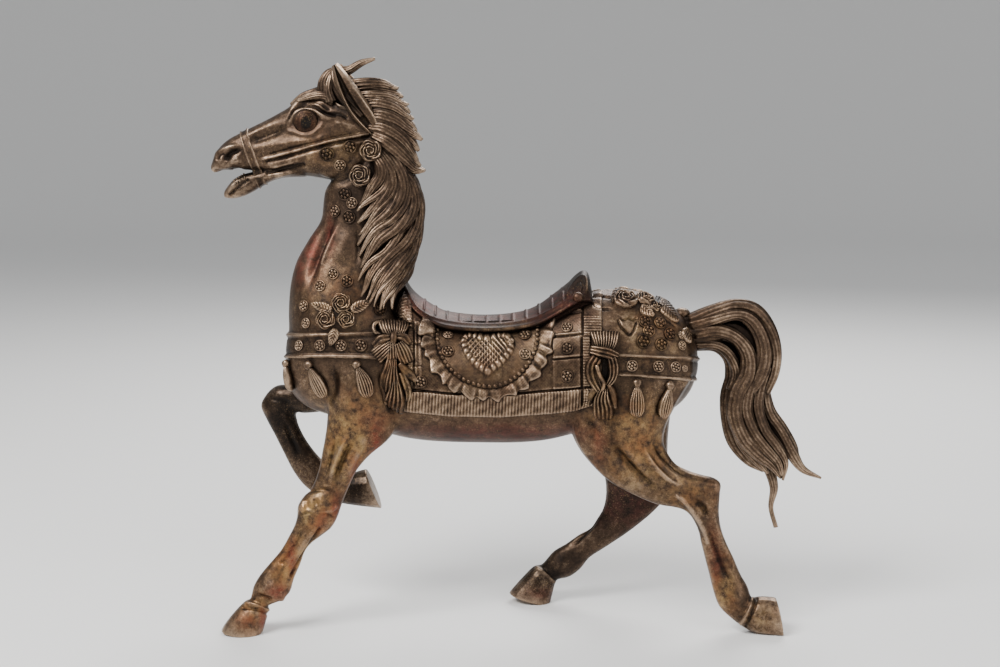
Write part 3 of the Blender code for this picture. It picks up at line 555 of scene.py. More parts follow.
# %% Swellings and hollows
BODY_SPOTS = on("both", [
    # height, centre, radii
    (-0.9, (307, 121), (13, 12)),
    (2.2, (320, 104), (9, 5)),
    (-4.2, (226.5, 157.5), (3.6, 3.2)),
    (1.5, (338, 156), (17, 15)),
    (-1.4, (344, 101), (8, 5)),
]) + on("near", [
    (2.6, (352, 388), (14, 16)),
    (2.0, (363, 441), (3.2, 3.2)),
    (2.4, (318, 503), (9, 7)),
    (-2.6, (316.5, 502.5), (2.8, 3)),
    (1.8, (302, 508), (5, 6)),
    (1.8, (272, 588), (8, 7)),
    (2.0, (283, 600), (3, 2.6)),
    (2.8, (640, 420), (20, 22)),
    (1.8, (716, 485), (6, 5)),
    (1.8, (739, 598), (6, 8)),
]) + on("far", [
    (2.2, (279, 397), (9, 9)),
    (1.8, (563, 566), (7, 6)),
])
print("swellings and hollows", len(BODY_SPOTS))

# %% Body
trunk = melted("trunk", [
    limb("torso", TORSO, sides=32),
    limb("neck", NECK, sides=24),
    limb("near_fore_top", NEAR_FORE[:6]),
    limb("far_fore_top", FAR_FORE[:4]),
    limb("near_hind_top", NEAR_HIND[:7], sides=24),
    limb("far_hind_top", FAR_HIND[:4], sides=24),
], voxel=3.0, smoothing=12)
body = melted("body", [
    trunk,
    limb("head", HEAD, sides=24, egg=0.12),
    limb("lower_jaw", LOWER_JAW),
    ball("near_jowl", 334, 156, -13, (24, 10, 22)),
    ball("far_jowl", 334, 156, 13, (24, 10, 22)),
    limb("withers", WITHERS, sides=24),
    limb("near_fore", NEAR_FORE),
    limb("far_fore", FAR_FORE),
    limb("near_hind", NEAR_HIND),
    limb("far_hind", FAR_HIND),
], voxel=BODY_VOXEL, smoothing=BODY_SOFTENING)
chase(body, HEAD_LINES + FRONT_LINES + REAR_LINES, BODY_SPOTS, CHASING_DEPTH)
for vertex in body.data.vertices:
    vertex.co.z = max(vertex.co.z, 0.0)
body_form = BVHTree.FromObject(body, bpy.context.evaluated_depsgraph_get())
dense = len(body.data.polygons)
thinned(body, BODY_TRIANGLES)
print("body", dense, "faces, thinned to", len(body.data.polygons))

# %% [markdown]
# ## Tools for work laid over the body
# Harness, flowers and bows were modelled in wax sheet and pressed on. `laid` drops a point on
# the body along the line of sight. A plate is a grid of such points raised by a relief and
# closed by a flat back hidden inside the body; a slab is closed by a second grid under it.

# %% Tools for laid-on work
# Squares from the middle plane: where a line of sight starts, and where the body usually is.
SIGHT_FROM = 300
USUAL_DEPTH = 30


def laid(form, u, v, lift, far=False):
    """A place on a form, lift squares above it, and the way the form faces there."""
    start = spot(u, v, -SIGHT_FROM)
    step = (spot(u, v, 0) - start).normalized()
    guess = spot(u, v, -USUAL_DEPTH)
    if far:
        start, guess = other_side(start), other_side(guess)
        step = Vector((step.x, -step.y, step.z))
    hit, normal, _, _ = form.ray_cast(start, step)
    if hit is None:
        hit, normal, _, _ = form.find_nearest(guess)
    return hit + normal * lift * SQUARE, normal


def quads(rows, cols, start=0, loop=False):
    """The faces of a grid of points, closed round if asked."""
    faces = []
    for i in range(rows - 1):
        for k in range(cols if loop else cols - 1):
            n = (k + 1) % cols
            a, b = start + i * cols, start + (i + 1) * cols
            faces.append((a + k, a + n, b + n, b + k))
    return faces


def border(rows, cols):
    """The points round the edge of a grid, in order."""
    return (
        [k for k in range(cols)] + [i * cols + cols - 1 for i in range(1, rows)]
        + [(rows - 1) * cols + k for k in range(cols - 2, -1, -1)]
        + [i * cols for i in range(rows - 2, 0, -1)])


def plate(name, grid, back):
    """A grid of relief closed by a flat back, back squares from the middle plane."""
    rows, cols = len(grid), len(grid[0])
    verts = [point for row in grid for point in row]
    faces = quads(rows, cols)
    rim = border(rows, cols)
    first = len(verts)
    for i in rim:
        verts.append(Vector((verts[i].x, ORIGIN.y + back * SQUARE, verts[i].z)))
    for k in range(len(rim)):
        n = (k + 1) % len(rim)
        faces.append((rim[k], rim[n], first + n, first + k))
    faces.append(tuple(range(first, first + len(rim))))
    return shaped(name, verts, faces)


def slab(name, top, under):
    """Two grids of the same size closed along their edges."""
    rows, cols = len(top), len(top[0])
    verts = [point for row in top for point in row] + [point for row in under for point in row]
    faces = quads(rows, cols) + quads(rows, cols, rows * cols)
    rim = border(rows, cols)
    for k in range(len(rim)):
        a, b = rim[k], rim[(k + 1) % len(rim)]
        faces.append((a, b, rows * cols + b, rows * cols + a))
    return shaped(name, verts, faces)


def relief(form, u, v, height, far=False):
    """A grid of places over the body, raised by a height at each square."""
    return [[laid(form, u[i, k], v[i, k], height[i, k], far)[0] for k in range(u.shape[1])]
            for i in range(u.shape[0])]


print("plates and slabs ready")

# %% [markdown]
# Hair, ribbon and tassels are fluted: their section is a round or a strip cut into threads.

# %% Threads and pleats
def fluted(angle, flutes, depth):
    """How far a fluted section reaches: rounded threads with cuts between them."""
    return 1 - depth * (1 - abs(math.sin(flutes * angle / 2)) ** 0.7)


def ribbon(name, form, rows, far=False, pleats=0, depth=0.4, steps=5):
    """A pleated strip laid along the body: rows are u, v, lift, half breadth, half thickness."""
    section = []
    for x in np.linspace(-1, 1, max(6 * pleats, 12) + 1):
        rise = (1 - abs(x) ** 3) ** 0.5
        section.append((x, rise * (1 - depth * (1 - abs(math.sin(math.pi * pleats * (x + 1) / 2)) ** 0.8))
                        if pleats else rise))
    section += [(x, -0.8) for x in (0.8, 0.3, -0.3, -0.8)]
    dense = spline(rows, steps)
    places, facing = zip(*[laid(form, u, v, lift, far) for u, v, lift, _, _ in dense])
    rings = []
    for i, (_, _, _, breadth, thickness) in enumerate(dense):
        travel = heading(places, i)
        normal = sum(facing[max(i - 2, 0):i + 3], Vector())
        edgewise = travel.cross(normal).normalized() * breadth * SQUARE
        outward = edgewise.cross(travel).normalized() * thickness * SQUARE
        outward *= 1 if outward.dot(normal) > 0 else -1
        rings.append([places[i] + edgewise * x + outward * rise for x, rise in section])
    return skin(name, rings)


print("tools for laid-on work ready")

# %% [markdown]
# ## Eyes, teeth and ears
# The eyeball is a bulging ball with a drilled pupil and a ringed iris. The teeth show where the
# lips part. An ear is a leaf hollowed towards the outside, with a thick rim down its back edge
# that catches the light.

# %% Eyes, teeth and ears
EYE = (305.7, 121.2)
EYE_OUT = 18.6
PUPIL = (EYE[0] + 1, EYE[1] + 1)
EYE_RADII = (12.4, 8.0, 12.2)
IRIS = 8.6
EAR = [
    (377, 134, -20, 4, 2), (368.5, 121, -23, 7.4, 4.5), (358, 107, -25, 8.4, 6),
    (349.5, 93, -25, 7.4, 6), (342, 79, -23, 5.2, 4.5), (334.5, 64.5, -20, 1.4, 1),
]
EAR_WALL = 4.0
EAR_STEPS = 12
FIRST_TOOTH = (234.2, 180.6)
TEETH_IN_A_ROW = 5
TONGUE = midline([
    (238, 182, 240, 186, 3), (246, 177, 250, 183, 5), (258, 172, 262, 180, 6),
    (270, 168, 272, 176, 6),
])


def ear(name, far=False):
    """A hollowed leaf."""
    side = -1 if far else 1
    dense = spline(EAR, 8)
    middles = [spot(u, v, y) for u, v, y, _, _ in dense]
    if far:
        middles = [other_side(point) for point in middles]
    rings = []
    for i, (_, _, _, breadth, hollow) in enumerate(dense):
        travel = heading(middles, i).normalized()
        forward = Vector((-travel.z, 0, travel.x)).normalized()
        inward = Vector((0, side, 0))
        ring = []
        for k in range(-EAR_STEPS, EAR_STEPS + 1):
            angle = k * math.pi / (2 * EAR_STEPS)
            # the hollow lies towards the front, and the back edge is a broad smooth blade
            pit = max(0.0, 1 - ((math.sin(angle) - 0.42) / 0.5) ** 2) ** 0.5
            ring.append(middles[i] + SQUARE * (
                forward * breadth * math.sin(angle)
                + inward * (hollow * pit - 1.2 * math.cos(angle) * (pit == 0))))
        for k in range(EAR_STEPS, -EAR_STEPS - 1, -1):
            angle = k * math.pi / (2 * EAR_STEPS)
            ring.append(middles[i] + SQUARE * (
                forward * (breadth + 0.5 * EAR_WALL) * math.sin(angle)
                + inward * (hollow * math.cos(angle) + EAR_WALL - 2)))
        rings.append(ring)
    return skin(name, rings)


face_bits = []
for far in (False, True):
    eye = ball("eye", *EYE, EYE_OUT if far else -EYE_OUT, EYE_RADII, segments=56)
    ring = [(EYE[0] + IRIS * math.cos(a * math.pi / 8), EYE[1] + IRIS * math.sin(a * math.pi / 8))
            for a in range(17)]
    chase(eye, [("both", 0.9, -1.0, ring)], [("both", -0.9, PUPIL, (3.8, 4.2))])
    face_bits.append(eye)
    for i in range(2 * TEETH_IN_A_ROW):
        row, tooth = divmod(i, TEETH_IN_A_ROW)
        u, v = FIRST_TOOTH[0] + 2.4 * tooth + 0.8 * row, FIRST_TOOTH[1] - 1.5 * tooth + 3.1 * row
        place = laid(body_form, u, v, 0, far)[0]
        face_bits.append(ball("tooth", u, v, (place.y - ORIGIN.y) / SQUARE, (1.25, 1.3, 1.6), 10))
face_bits.append(limb("tongue", TONGUE, sides=12))
face = gathered("face", face_bits)
ears = gathered("ears", [ear("near_ear"), ear("far_ear", far=True)])
print("face", len(face.data.polygons), "ears", len(ears.data.polygons))

# %% [markdown]
# ## The saddle
# A fairground saddle is a shallow seat with a high cantle, its edge standing off the blanket.
# It is built from rows along the horse: crest, near edge and how far out the edge is. A moulded
# line follows the edge and short bars part the band above it into tiles.

# %% Saddle
SADDLE = [
    (403, 272, 280, 9), (407, 281, 294, 22), (415, 292, 307, 32), (428, 302, 317, 38),
    (447, 312, 325, 42), (478, 317, 328, 43), (510, 315, 327, 43), (535, 307, 322, 43),
    (555, 293, 312, 42), (570, 281, 303, 40), (581, 271, 298, 37), (588, 273, 298, 35),
    (591, 286, 300, 33),
]
SADDLE_MOULDING = [
    (405, 283), (409, 296), (417, 308), (430, 316.5), (450, 322), (475, 324.5), (505, 324),
    (532, 319), (553, 309.5), (568, 299.5),
]
TILE_BARS = [424, 435, 447, 460, 473, 487, 500, 513, 526, 539, 552, 563]
CANTLE_LINES = [
    ("both", 1.1, 1.2, [(566, 297), (571, 287), (577, 279), (583, 275.5), (586.5, 280), (587, 291)]),
    ("both", 1.0, -0.9, [(571, 293), (575, 285), (580, 281), (583, 286), (583, 293)]),
]
SCROLL = (578, 297.5)
SCROLL_OUT = 37
SEAT_STEPS = 24


def line_at(path, u):
    """How far down the sketch a path lies at u."""
    return np.interp(u, [p[0] for p in path], [p[1] for p in path])


def saddle():
    """The seat: a saddle-shaped shell whose rim turns in under itself."""
    rings = []
    for u, crest, edge, reach in spline(SADDLE, 26):
        top = spot(u, crest, 0)
        rim = spot(u, edge, -reach)
        half = ORIGIN.y - rim.y
        side = [(k / SEAT_STEPS, top.z + (rim.z - top.z) * (k / SEAT_STEPS) ** 2)
                for k in range(SEAT_STEPS + 1)]
        side += [(1.025, rim.z - 1.2 * SQUARE), (1.03, rim.z - 2.4 * SQUARE),
                 (1.0, rim.z - 3.6 * SQUARE), (0.93, rim.z - 4.2 * SQUARE),
                 (0.88, rim.z - 7 * SQUARE), (0.82, rim.z - 18 * SQUARE)]
        ring = [Vector((top.x, ORIGIN.y - share * half, z)) for share, z in side]
        ring += [Vector((top.x, ORIGIN.y + share * half, z)) for share, z in side[:0:-1]]
        rings.append(ring)
    return skin("saddle", rings)


seat = saddle()
bars = []
for u in TILE_BARS:
    v = float(line_at(SADDLE_MOULDING, u))
    bars.append(("both", 0.9, 1.2, [(u, v - 12), (u, v - 1.5)]))
chase(seat, [("both", 1.0, 1.6, SADDLE_MOULDING)] + CANTLE_LINES + bars)
scrolls = [ball("scroll", *SCROLL, y, (5.6, 5, 5.4)) for y in (-SCROLL_OUT, SCROLL_OUT)]
saddle_piece = gathered("saddle", [seat] + scrolls)
print("saddle", len(saddle_piece.data.polygons))

# %% [markdown]
# ## The blanket
# Under the saddle lies a blanket with a ribbed fringe, a ribbed girth strip in front, ladder
# strips at both ends and a parted panel behind. Its relief is one height at each square of
# the sketch, cut as a mould-maker cuts a plate, and laid over the body on both sides.

# %% Lines of the blanket
BLANKET_TOP = [
    (396, 323), (399, 308), (402, 292), (405, 289), (409, 297), (416, 306), (428, 315), (447, 322),
    (478, 325), (510, 324), (535, 319), (555, 309), (570, 300), (581, 296), (603, 292),
]
BLANKET_BOTTOM = [
    (396, 409), (410, 411.5), (425, 413), (450, 415.5), (500, 416.5), (550, 413), (575, 410),
    (590, 407), (603, 404),
]
FRINGE_TOP = [(396, 390), (425, 391.5), (450, 394), (500, 395), (550, 391), (590, 387), (603, 386)]
# corners of the strips and seams of the blanket, those in front first
GIRTH = [(402, 288), (405, 288), (413.5, 323), (396.5, 323)]
LADDER = [(407.5, 324), (413, 324), (413, 388), (407.5, 388)]
STRIP = [(414.5, 322), (421.5, 322), (421.5, 388), (414.5, 388)]
STRIP_FOLD = [(418, 322), (418, 390)]
STRIP_SEAM = [(414, 320), (414, 390)]
STRIP_JOINS = [[(410, 366), (422, 366)], [(414, 345), (422, 345)]]
PANEL = [(553, 312), (582, 306), (582, 387), (553, 391)]
PANEL_SEAMS = [
    [(552, 318), (568, 315.5), (583, 312.5)], [(552, 338), (568, 336.5), (583, 334.5)],
    [(552, 360), (568, 358.5), (583, 357)], [(552, 390), (568, 389), (583, 387.5)],
]
REAR_SEAM = [(581.5, 336), (581.5, 406)]
REAR_LADDER = [(583, 337), (590.5, 337), (590.5, 404), (583, 404)]
REAR_GIRTH = [(584, 300), (602, 300), (602, 336), (584, 336)]
REAR_GIRTH_SEAM = [(583, 300), (583, 336)]
BLANKET_ENDS = (396, 603)
BLANKET_DEPTH = 125
BLANKET_BACK = 22
FRINGE_PITCH = 3.18
STRIP_PITCH = 2.7
LADDER_PITCH = 2.7
SOFT_EDGE = 0.8

print("blanket from", BLANKET_ENDS[0], "to", BLANKET_ENDS[1])

# %% Relief of the blanket
def inside(u, v, corners):
    """1 inside a convex outline, falling to 0 over its soft edge."""
    level = np.ones_like(u)
    centre = np.mean(corners, axis=0)
    for i in range(len(corners)):
        (ax, ay), (bx, by) = corners[i - 1], corners[i]
        nx, ny = by - ay, ax - bx
        if (centre[0] - ax) * nx + (centre[1] - ay) * ny < 0:
            nx, ny = -nx, -ny
        gap = ((u - ax) * nx + (v - ay) * ny) / math.hypot(nx, ny)
        level = np.minimum(level, np.clip(0.5 + gap / SOFT_EDGE, 0, 1))
    return level


def ribs(run, pitch):
    """Rounded ribs with narrow cuts between them, 0 to 1."""
    return np.abs(np.sin(math.pi * run / pitch)) ** 0.6


def blanket_relief(u, v):
    """How thick the blanket is at each square of the sketch."""
    height = np.full_like(u, 1.6)
    fringe = np.clip((v - line_at(FRINGE_TOP, u)) / 1.2 + 0.5, 0, 1)
    hem = np.clip((line_at(BLANKET_BOTTOM, u) - v) / 1.5, 0, 1)
    height += fringe * (1.0 + 1.6 * ribs(u + 0.06 * (v - 400), FRINGE_PITCH)) * (0.35 + 0.65 * hem)
    at = np.stack([u.ravel(), v.ravel()], axis=1)

    def cut(path, breadth):
        """1 along a line of the blanket."""
        return near_line(at, path, breadth).reshape(u.shape)

    height -= 1.5 * cut([(p[0], p[1] - 0.8) for p in FRINGE_TOP], 0.8)
    # the girth strip in front, ribbed across, and the ladder and flat strip behind it
    height += inside(u, v, GIRTH) * (1.6 + 1.8 * ribs(v, STRIP_PITCH))
    height += inside(u, v, LADDER) * (0.6 + 1.1 * ribs(v, LADDER_PITCH))
    strip = inside(u, v, STRIP)
    height += 0.9 * strip - 0.8 * strip * cut(STRIP_FOLD, 1.1)
    height -= 1.3 * cut(STRIP_SEAM, 0.7)
    height -= 1.2 * cut(STRIP_JOINS[0], 0.7) + 1.2 * cut(STRIP_JOINS[1], 0.7)
    # the parted panel behind, its ladder and the ribbed strip over it
    height += 0.9 * inside(u, v, PANEL)
    for path in PANEL_SEAMS:
        height -= 1.7 * cut(path, 0.8)
        height += 0.7 * cut([(a, b - 2) for a, b in path], 0.9)
    height -= 1.8 * cut(REAR_SEAM, 0.9)
    height += inside(u, v, REAR_LADDER) * (1.0 + 1.3 * ribs(v, LADDER_PITCH))
    below_saddle = np.clip((v - 316) / 3, 0, 1)
    height += inside(u, v, REAR_GIRTH) * (0.6 + 1.1 * ribs(v, STRIP_PITCH) * below_saddle)
    height -= 1.2 * cut(REAR_GIRTH_SEAM, 0.7)
    # cloth between the strips lies a little lower, with the weave of its ground
    ground = 0.09 * np.sin(2.1 * u) * np.sin(2.1 * v)
    height += ground * (1 - fringe)
    front, rear = BLANKET_ENDS
    edge = np.minimum(np.clip((u - front) / 1.5, 0, 1), np.clip((rear - u) / 1.5, 0, 1))
    return height * edge + (edge - 1) * 1.5


print("relief of the blanket ready")

# %% Both sides of the blanket
def blanket(name, pitch, far):
    """One side of the blanket, with a point every pitch squares."""
    front, rear = BLANKET_ENDS
    across_u = np.arange(front, rear + 0.01, pitch)
    down = np.linspace(0, 1, int(BLANKET_DEPTH / pitch))
    u = np.repeat(across_u[None, :], len(down), axis=0)
    top, bottom = line_at(BLANKET_TOP, across_u), line_at(BLANKET_BOTTOM, across_u)
    v = top[None, :] + down[:, None] * (bottom - top)[None, :]
    height = blanket_relief(u, v)
    height[[0, -1]] = -1.0
    return plate(name, relief(body_form, u, v, height, far), BLANKET_BACK if far else -BLANKET_BACK)


near_blanket = blanket("blanket_near", 0.66, False)
far_blanket = blanket("blanket_far", 0.92, True)
print("blanket", len(near_blanket.data.polygons), len(far_blanket.data.polygons))

# %% [markdown]
# ## The apron
# A half-round apron hangs from the saddle over the blanket, with a row of beads, a ruffled
# border of sixteen lobes and a heart filled with a lattice. It is laid out in rings round
# the middle of its top edge, so that each lobe falls square to the border.

# %% Lines of the apron
APRON_CENTRE = (487.0, 323.0)
APRON_FIELD = [
    (538, 320), (539, 332), (537.5, 345), (532, 360), (522, 373), (509, 383), (497, 387.5),
    (484, 387.5), (471, 384), (459, 378), (448, 368), (440, 356), (436.5, 343), (436, 331), (436, 320),
]
APRON_EDGE = [
    (555, 320), (555, 333), (553, 347), (547, 362), (538, 376), (524, 389), (509, 396.5),
    (494, 399), (478, 398), (462, 394), (447, 386), (434, 373), (425, 358), (421, 342), (420, 320),
]
HEART = [
    (488, 376), (478, 370), (468, 361), (462, 351), (461, 342), (467, 336), (477, 335.5),
    (487, 338), (498, 335), (508, 336), (514, 343), (513, 353), (505, 363), (496, 370),
]
APRON_SPAN = (-2.5, 182.5)
APRON_BACK = 26
LOBES = 16
LATTICE_PITCH = 3.6
SCALLOP_PITCH = 6.0
HEART_BORDER = 6.5

print("apron with", LOBES, "lobes")

# %% [markdown]
# The heart's lattice is where two sets of slanting waves are high. How deep a square lies in the
# heart is its distance from the outline, counted as inside where a line to one side crosses the
# outline an odd number of times.

# %% Relief of the apron
def polar(outline, angles):
    """How far an outline lies from the apron's centre at each angle."""
    points = np.array(outline, float) - APRON_CENTRE
    order = np.degrees(np.arctan2(points[:, 1], points[:, 0]))
    order = np.where(order < -60, order + 360, order)
    ranked = np.argsort(order)
    return np.interp(angles, order[ranked], np.linalg.norm(points, axis=1)[ranked])


def heart_gap(u, v):
    """How far inside the heart each square lies, and how far round its outline."""
    corners = np.array(spline(HEART + HEART[:1], 3))
    at = np.stack([u.ravel(), v.ravel()], axis=1)
    gap, run_at, run = nearest(at, corners)
    within = np.zeros(len(at), bool)
    for a, b in zip(corners[:-1], corners[1:]):
        along = b - a
        crosses = (a[1] > at[:, 1]) != (b[1] > at[:, 1])
        slope = along[0] / (along[1] if along[1] else TINY)
        within ^= crosses & (at[:, 0] < a[0] + (at[:, 1] - a[1]) * slope)
    scallops = round(run / SCALLOP_PITCH)
    return (np.where(within, gap, -gap).reshape(u.shape),
            (run_at * scallops / run).reshape(u.shape))


def apron(name, far, angles_count, rings_count):
    """One side of the apron, as a relief on rings round its centre."""
    angles = np.linspace(*APRON_SPAN, angles_count)
    field, edge = polar(APRON_FIELD, angles), polar(APRON_EDGE, angles)
    turns = LOBES * (angles - APRON_SPAN[0]) / (APRON_SPAN[1] - APRON_SPAN[0])
    # folds of one cloth: each rises gently and falls back steeply
    phase = 2 * math.pi * (turns + 0.1 * np.sin(2.3 * turns) + 0.07 * np.sin(5.1 * turns))
    lobe = 0.5 + 0.5 * np.sin(phase + 0.45 * np.sin(phase))
    fold = 0.5 + 0.5 * np.sin(2 * phase + 1.2)
    edge = edge + 3.4 * (lobe - 0.55) + 0.9 * np.sin(3.7 * turns)
    inner = np.linspace(0.02, 1, int(rings_count * 0.66))
    outer = np.linspace(0, 1, rings_count - len(inner) + 1)[1:]
    radius = np.vstack([inner[:, None] * field[None, :],
                        field[None, :] + outer[:, None] * (edge - field)[None, :]])
    turn = np.radians(angles)[None, :]
    u = APRON_CENTRE[0] + radius * np.cos(turn)
    v = APRON_CENTRE[1] + radius * np.sin(turn)
    height = np.full_like(u, 4.2)
    share = np.concatenate([np.zeros(len(inner)), outer])[:, None]
    flare = np.where(share > 0, -1.2 + 3.0 * np.sin(np.clip(share, 0, 1) * 1.9), 0)
    fall = np.clip(share, 0, 1) ** 0.7
    height += flare + fall * (3.0 * (lobe[None, :] - 0.55) + 0.5 * (fold[None, :] - 0.5))
    rim = np.clip((share - 0.9) / 0.1, 0, 1)
    height -= 1.6 * rim
    height[-1] = 0.0
    gap, scallop = heart_gap(u, v)
    core = gap - HEART_BORDER
    s, t = (u + v) / math.sqrt(2), (u - v) / math.sqrt(2)
    lattice = np.maximum(np.cos(math.pi * s / LATTICE_PITCH) ** 4,
                         np.cos(math.pi * t / LATTICE_PITCH) ** 4)
    inner = np.clip(0.5 + core / 1.4, 0, 1)
    across_border = np.clip(1 - ((gap - 0.5 * HEART_BORDER) / (0.56 * HEART_BORDER)) ** 2, 0, 1)
    height += (1 - inner) * 2.8 * across_border ** 0.5 * (0.35 + 0.65 * ribs(scallop, 1.0))
    height += inner * (0.9 + 1.3 * lattice)
    height += 0.08 * np.sin(2.3 * u) * np.sin(2.3 * v)
    return plate(name, relief(body_form, u, v, height, far), APRON_BACK if far else -APRON_BACK)


near_apron = apron("apron_near", False, 345, 116)
far_apron = apron("apron_far", True, 260, 50)
print("apron", len(near_apron.data.polygons), len(far_apron.data.polygons))

# %% [markdown]
# ## Belts and noseband
# A breast belt runs round the chest and a breeching belt round the rump, each with a raised
# edge above and below. They are laid by looking at the body from all round: at each bearing the
# point is found whose height on the sketch matches the belt's line, and the far side mirrors it.

# %% Belts
BREAST_TOP = [(280, 334), (300, 334.5), (330, 334), (360, 333), (386, 332)]
BREAST_BOTTOM = [(280, 357.5), (300, 357), (330, 356.5), (360, 357.5), (386, 359)]
RUMP_TOP = [(608, 354.5), (640, 355.5), (670, 357), (700, 358.5)]
RUMP_BOTTOM = [(608, 374), (640, 376), (670, 378.5), (700, 380)]
BELT_ROWS = 25
BELT_SAMPLES = 210
NOSEBAND_ENDS = ((243.5, 129), (263, 184))
NOSEBAND_WIDTH = 9.5
NOSEBAND_ROWS = 11
NOSEBAND_SIDES = 96


def round_about(form, centre_x, bearing, want):
    """The point of a form at a bearing round its middle whose height on the sketch is wanted."""
    z = spot(centre_x, want(centre_x), 0).z
    axis = spot(centre_x, 350, 0)
    toward = Vector((-math.cos(bearing), -math.sin(bearing), 0))
    found = None
    for _ in range(5):
        start = Vector((axis.x, ORIGIN.y, z)) - toward * 0.3
        hit, normal, _, _ = form.ray_cast(start, toward)
        if hit is None:
            break
        near = Vector((hit.x, ORIGIN.y - abs(hit.y - ORIGIN.y), hit.z))
        u, v = drawn(np.array([near]))[0]
        found = (hit, normal)
        z += (v - want(u)) * SQUARE
    return found


def humps(share, places, width):
    """1 at each of the places, falling off over the width."""
    return max(math.exp(-((share - place) / width) ** 2) for place in places)


def belt(name, centre_x, bearings, top, bottom):
    """A belt between two lines of the sketch, seen from the given bearings."""
    grid, under = [], []
    for row in range(BELT_ROWS):
        share = row / (BELT_ROWS - 1)
        lift = 0.5 + 2.0 * humps(share, (0.1, 0.9), 0.07) - 0.5 * humps(share, (0.22, 0.78), 0.05)
        if row in (0, BELT_ROWS - 1):
            lift = -0.6

        def want(u):
            """How far down the sketch this row runs at u."""
            upper = line_at(top, u) - 2.0
            return upper + share * (line_at(bottom, u) + 2.0 - upper)

        line = [round_about(body_form, centre_x, bearing, want)
                for bearing in np.linspace(*np.radians(bearings), BELT_SAMPLES)]
        grid.append([hit + normal * lift * SQUARE for hit, normal in line])
        under.append([hit - normal * 3 * SQUARE for hit, normal in line])
    return slab(name, grid, under)


breast_belt = belt("breast_belt", 362, (-62, -298), BREAST_TOP, BREAST_BOTTOM)
rump_belt = belt("rump_belt", 612, (-92, 92), RUMP_TOP, RUMP_BOTTOM)

print("belts", len(breast_belt.data.polygons), len(rump_belt.data.polygons))

# %% Noseband
def noseband(name):
    """A strap round the nose, across the sketch between two points of it."""
    upper, lower = (spot(u, v, 0) for u, v in NOSEBAND_ENDS)
    along = (upper - lower).normalized()
    sideways = Vector((along.z, 0, -along.x))
    centre = (upper + lower) / 2
    grid, under = [], []
    for row in range(NOSEBAND_ROWS):
        share = row / (NOSEBAND_ROWS - 1)
        lift = 0.5 + 1.1 * humps(share, (0.12, 0.88), 0.1)
        shift = sideways * (share - 0.5) * NOSEBAND_WIDTH * SQUARE
        ring, inner = [], []
        for k in range(NOSEBAND_SIDES):
            angle = 2 * math.pi * k / NOSEBAND_SIDES
            away = along * math.cos(angle) + Vector((0, 1, 0)) * math.sin(angle)
            hit, _, _, _ = body_form.ray_cast(centre + shift + away * 60 * SQUARE, -away)
            if hit is None:
                hit = centre + shift + away * 14 * SQUARE
            ring.append(hit + away * (lift if 0 < row < NOSEBAND_ROWS - 1 else -0.8) * SQUARE)
            inner.append(hit - away * 3 * SQUARE)
        grid.append(ring)
        under.append(inner)
    rows, cols = len(grid), len(grid[0])
    verts = [p for ring in grid for p in ring] + [p for ring in under for p in ring]
    count = rows * cols
    faces = quads(rows, cols, 0, True) + quads(rows, cols, count, True)
    for k in range(cols):
        n = (k + 1) % cols
        faces.append((k, n, count + n, count + k))
        last = (rows - 1) * cols
        faces.append((last + k, last + n, count + last + n, count + last + k))
    return shaped(name, verts, faces)


belts = gathered("belts", [breast_belt, rump_belt, noseband("noseband")])
print("belts", len(belts.data.polygons))

# %% [markdown]
# ## Mane, forelock and tail
# Hair on cast figures is modelled as locks, each a tapering tongue cut lengthwise into threads.
# A lock here is a sweep with a fluted section that turns a little along its length. Between two
# neighbouring locks of the mane a slimmer one is put, halfway, so that no neck shows through.

# %% Locks of forelock and crest
# Each row is a place of the sketch, its distance from the middle plane, half the lock's breadth
# and half its thickness.
FORELOCK = [
    [(331, 92, 0, 9, 11), (316, 94, 0, 6, 10), (303, 98, 0, 5, 8), (291, 105, 0, 2, 3)],
    [(328, 100, -5, 9, 9), (325, 86, -5, 8, 8), (329, 75, -4, 6, 7), (338, 69, -3, 3.5, 5)],
    [(327, 88, -2, 8, 8), (336, 73, -2, 6, 6), (349, 70, -2, 4.5, 5), (361, 63, -2, 3.6, 4),
     (375, 58.5, -2, 1.5, 2)],
    [(334, 100, -10, 7, 7), (322, 96, -10, 5, 6), (310, 97, -9, 4, 5), (297, 101, -7, 1.5, 2.5)],
    [(332, 102, -12, 7, 6), (329, 90, -10, 6, 6), (331, 79, -8, 5, 5), (334, 68, -5, 1.5, 2)],
    [(334, 70, -9, 3, 4), (337, 80, -11, 6.5, 6), (343, 92, -12, 8, 7), (352, 104, -14, 8, 7),
     (363, 116, -16, 6, 6)],
]
CREST = [
    [(346, 88, -3, 9, 9), (366, 86, -6, 9, 9), (382, 86, -5, 7, 7), (391, 87, -4, 4.5, 5),
     (398, 89, -4, 1.4, 2)],
    [(352, 98, -8, 6, 6), (369, 97, -13, 7, 7), (386, 98, -11, 6, 6), (397, 101, -9, 4.5, 5),
     (404, 103.5, -8, 3, 3), (408, 105, -8, 1, 1.6)],
    [(358, 106, -9, 6, 6), (376, 105, -15, 8, 7), (394, 109, -14, 7, 7), (405, 115, -11, 4.5, 5),
     (411, 121, -9, 1.4, 2)],
    [(364, 116, -12, 6, 6), (380, 116, -18, 8, 7), (393, 121, -17, 8, 7), (403, 127, -14, 6.5, 6),
     (413, 134, -11, 4.5, 4), (421, 141, -9, 1.2, 2)],
    [(370, 126, -15, 6, 6), (383, 129, -20, 8, 7), (395, 137, -19, 8, 8), (404, 145, -16, 7, 7),
     (411, 153, -12, 4.5, 5), (416, 161, -10, 1.4, 2)],
    [(374, 135, -18, 6, 6), (387, 143, -23, 8.5, 8), (402, 158, -19, 8, 8), (414, 168, -13, 5, 5),
     (424, 172, -9, 1.4, 2)],
]
print("locks above the ear", len(FORELOCK + CREST))

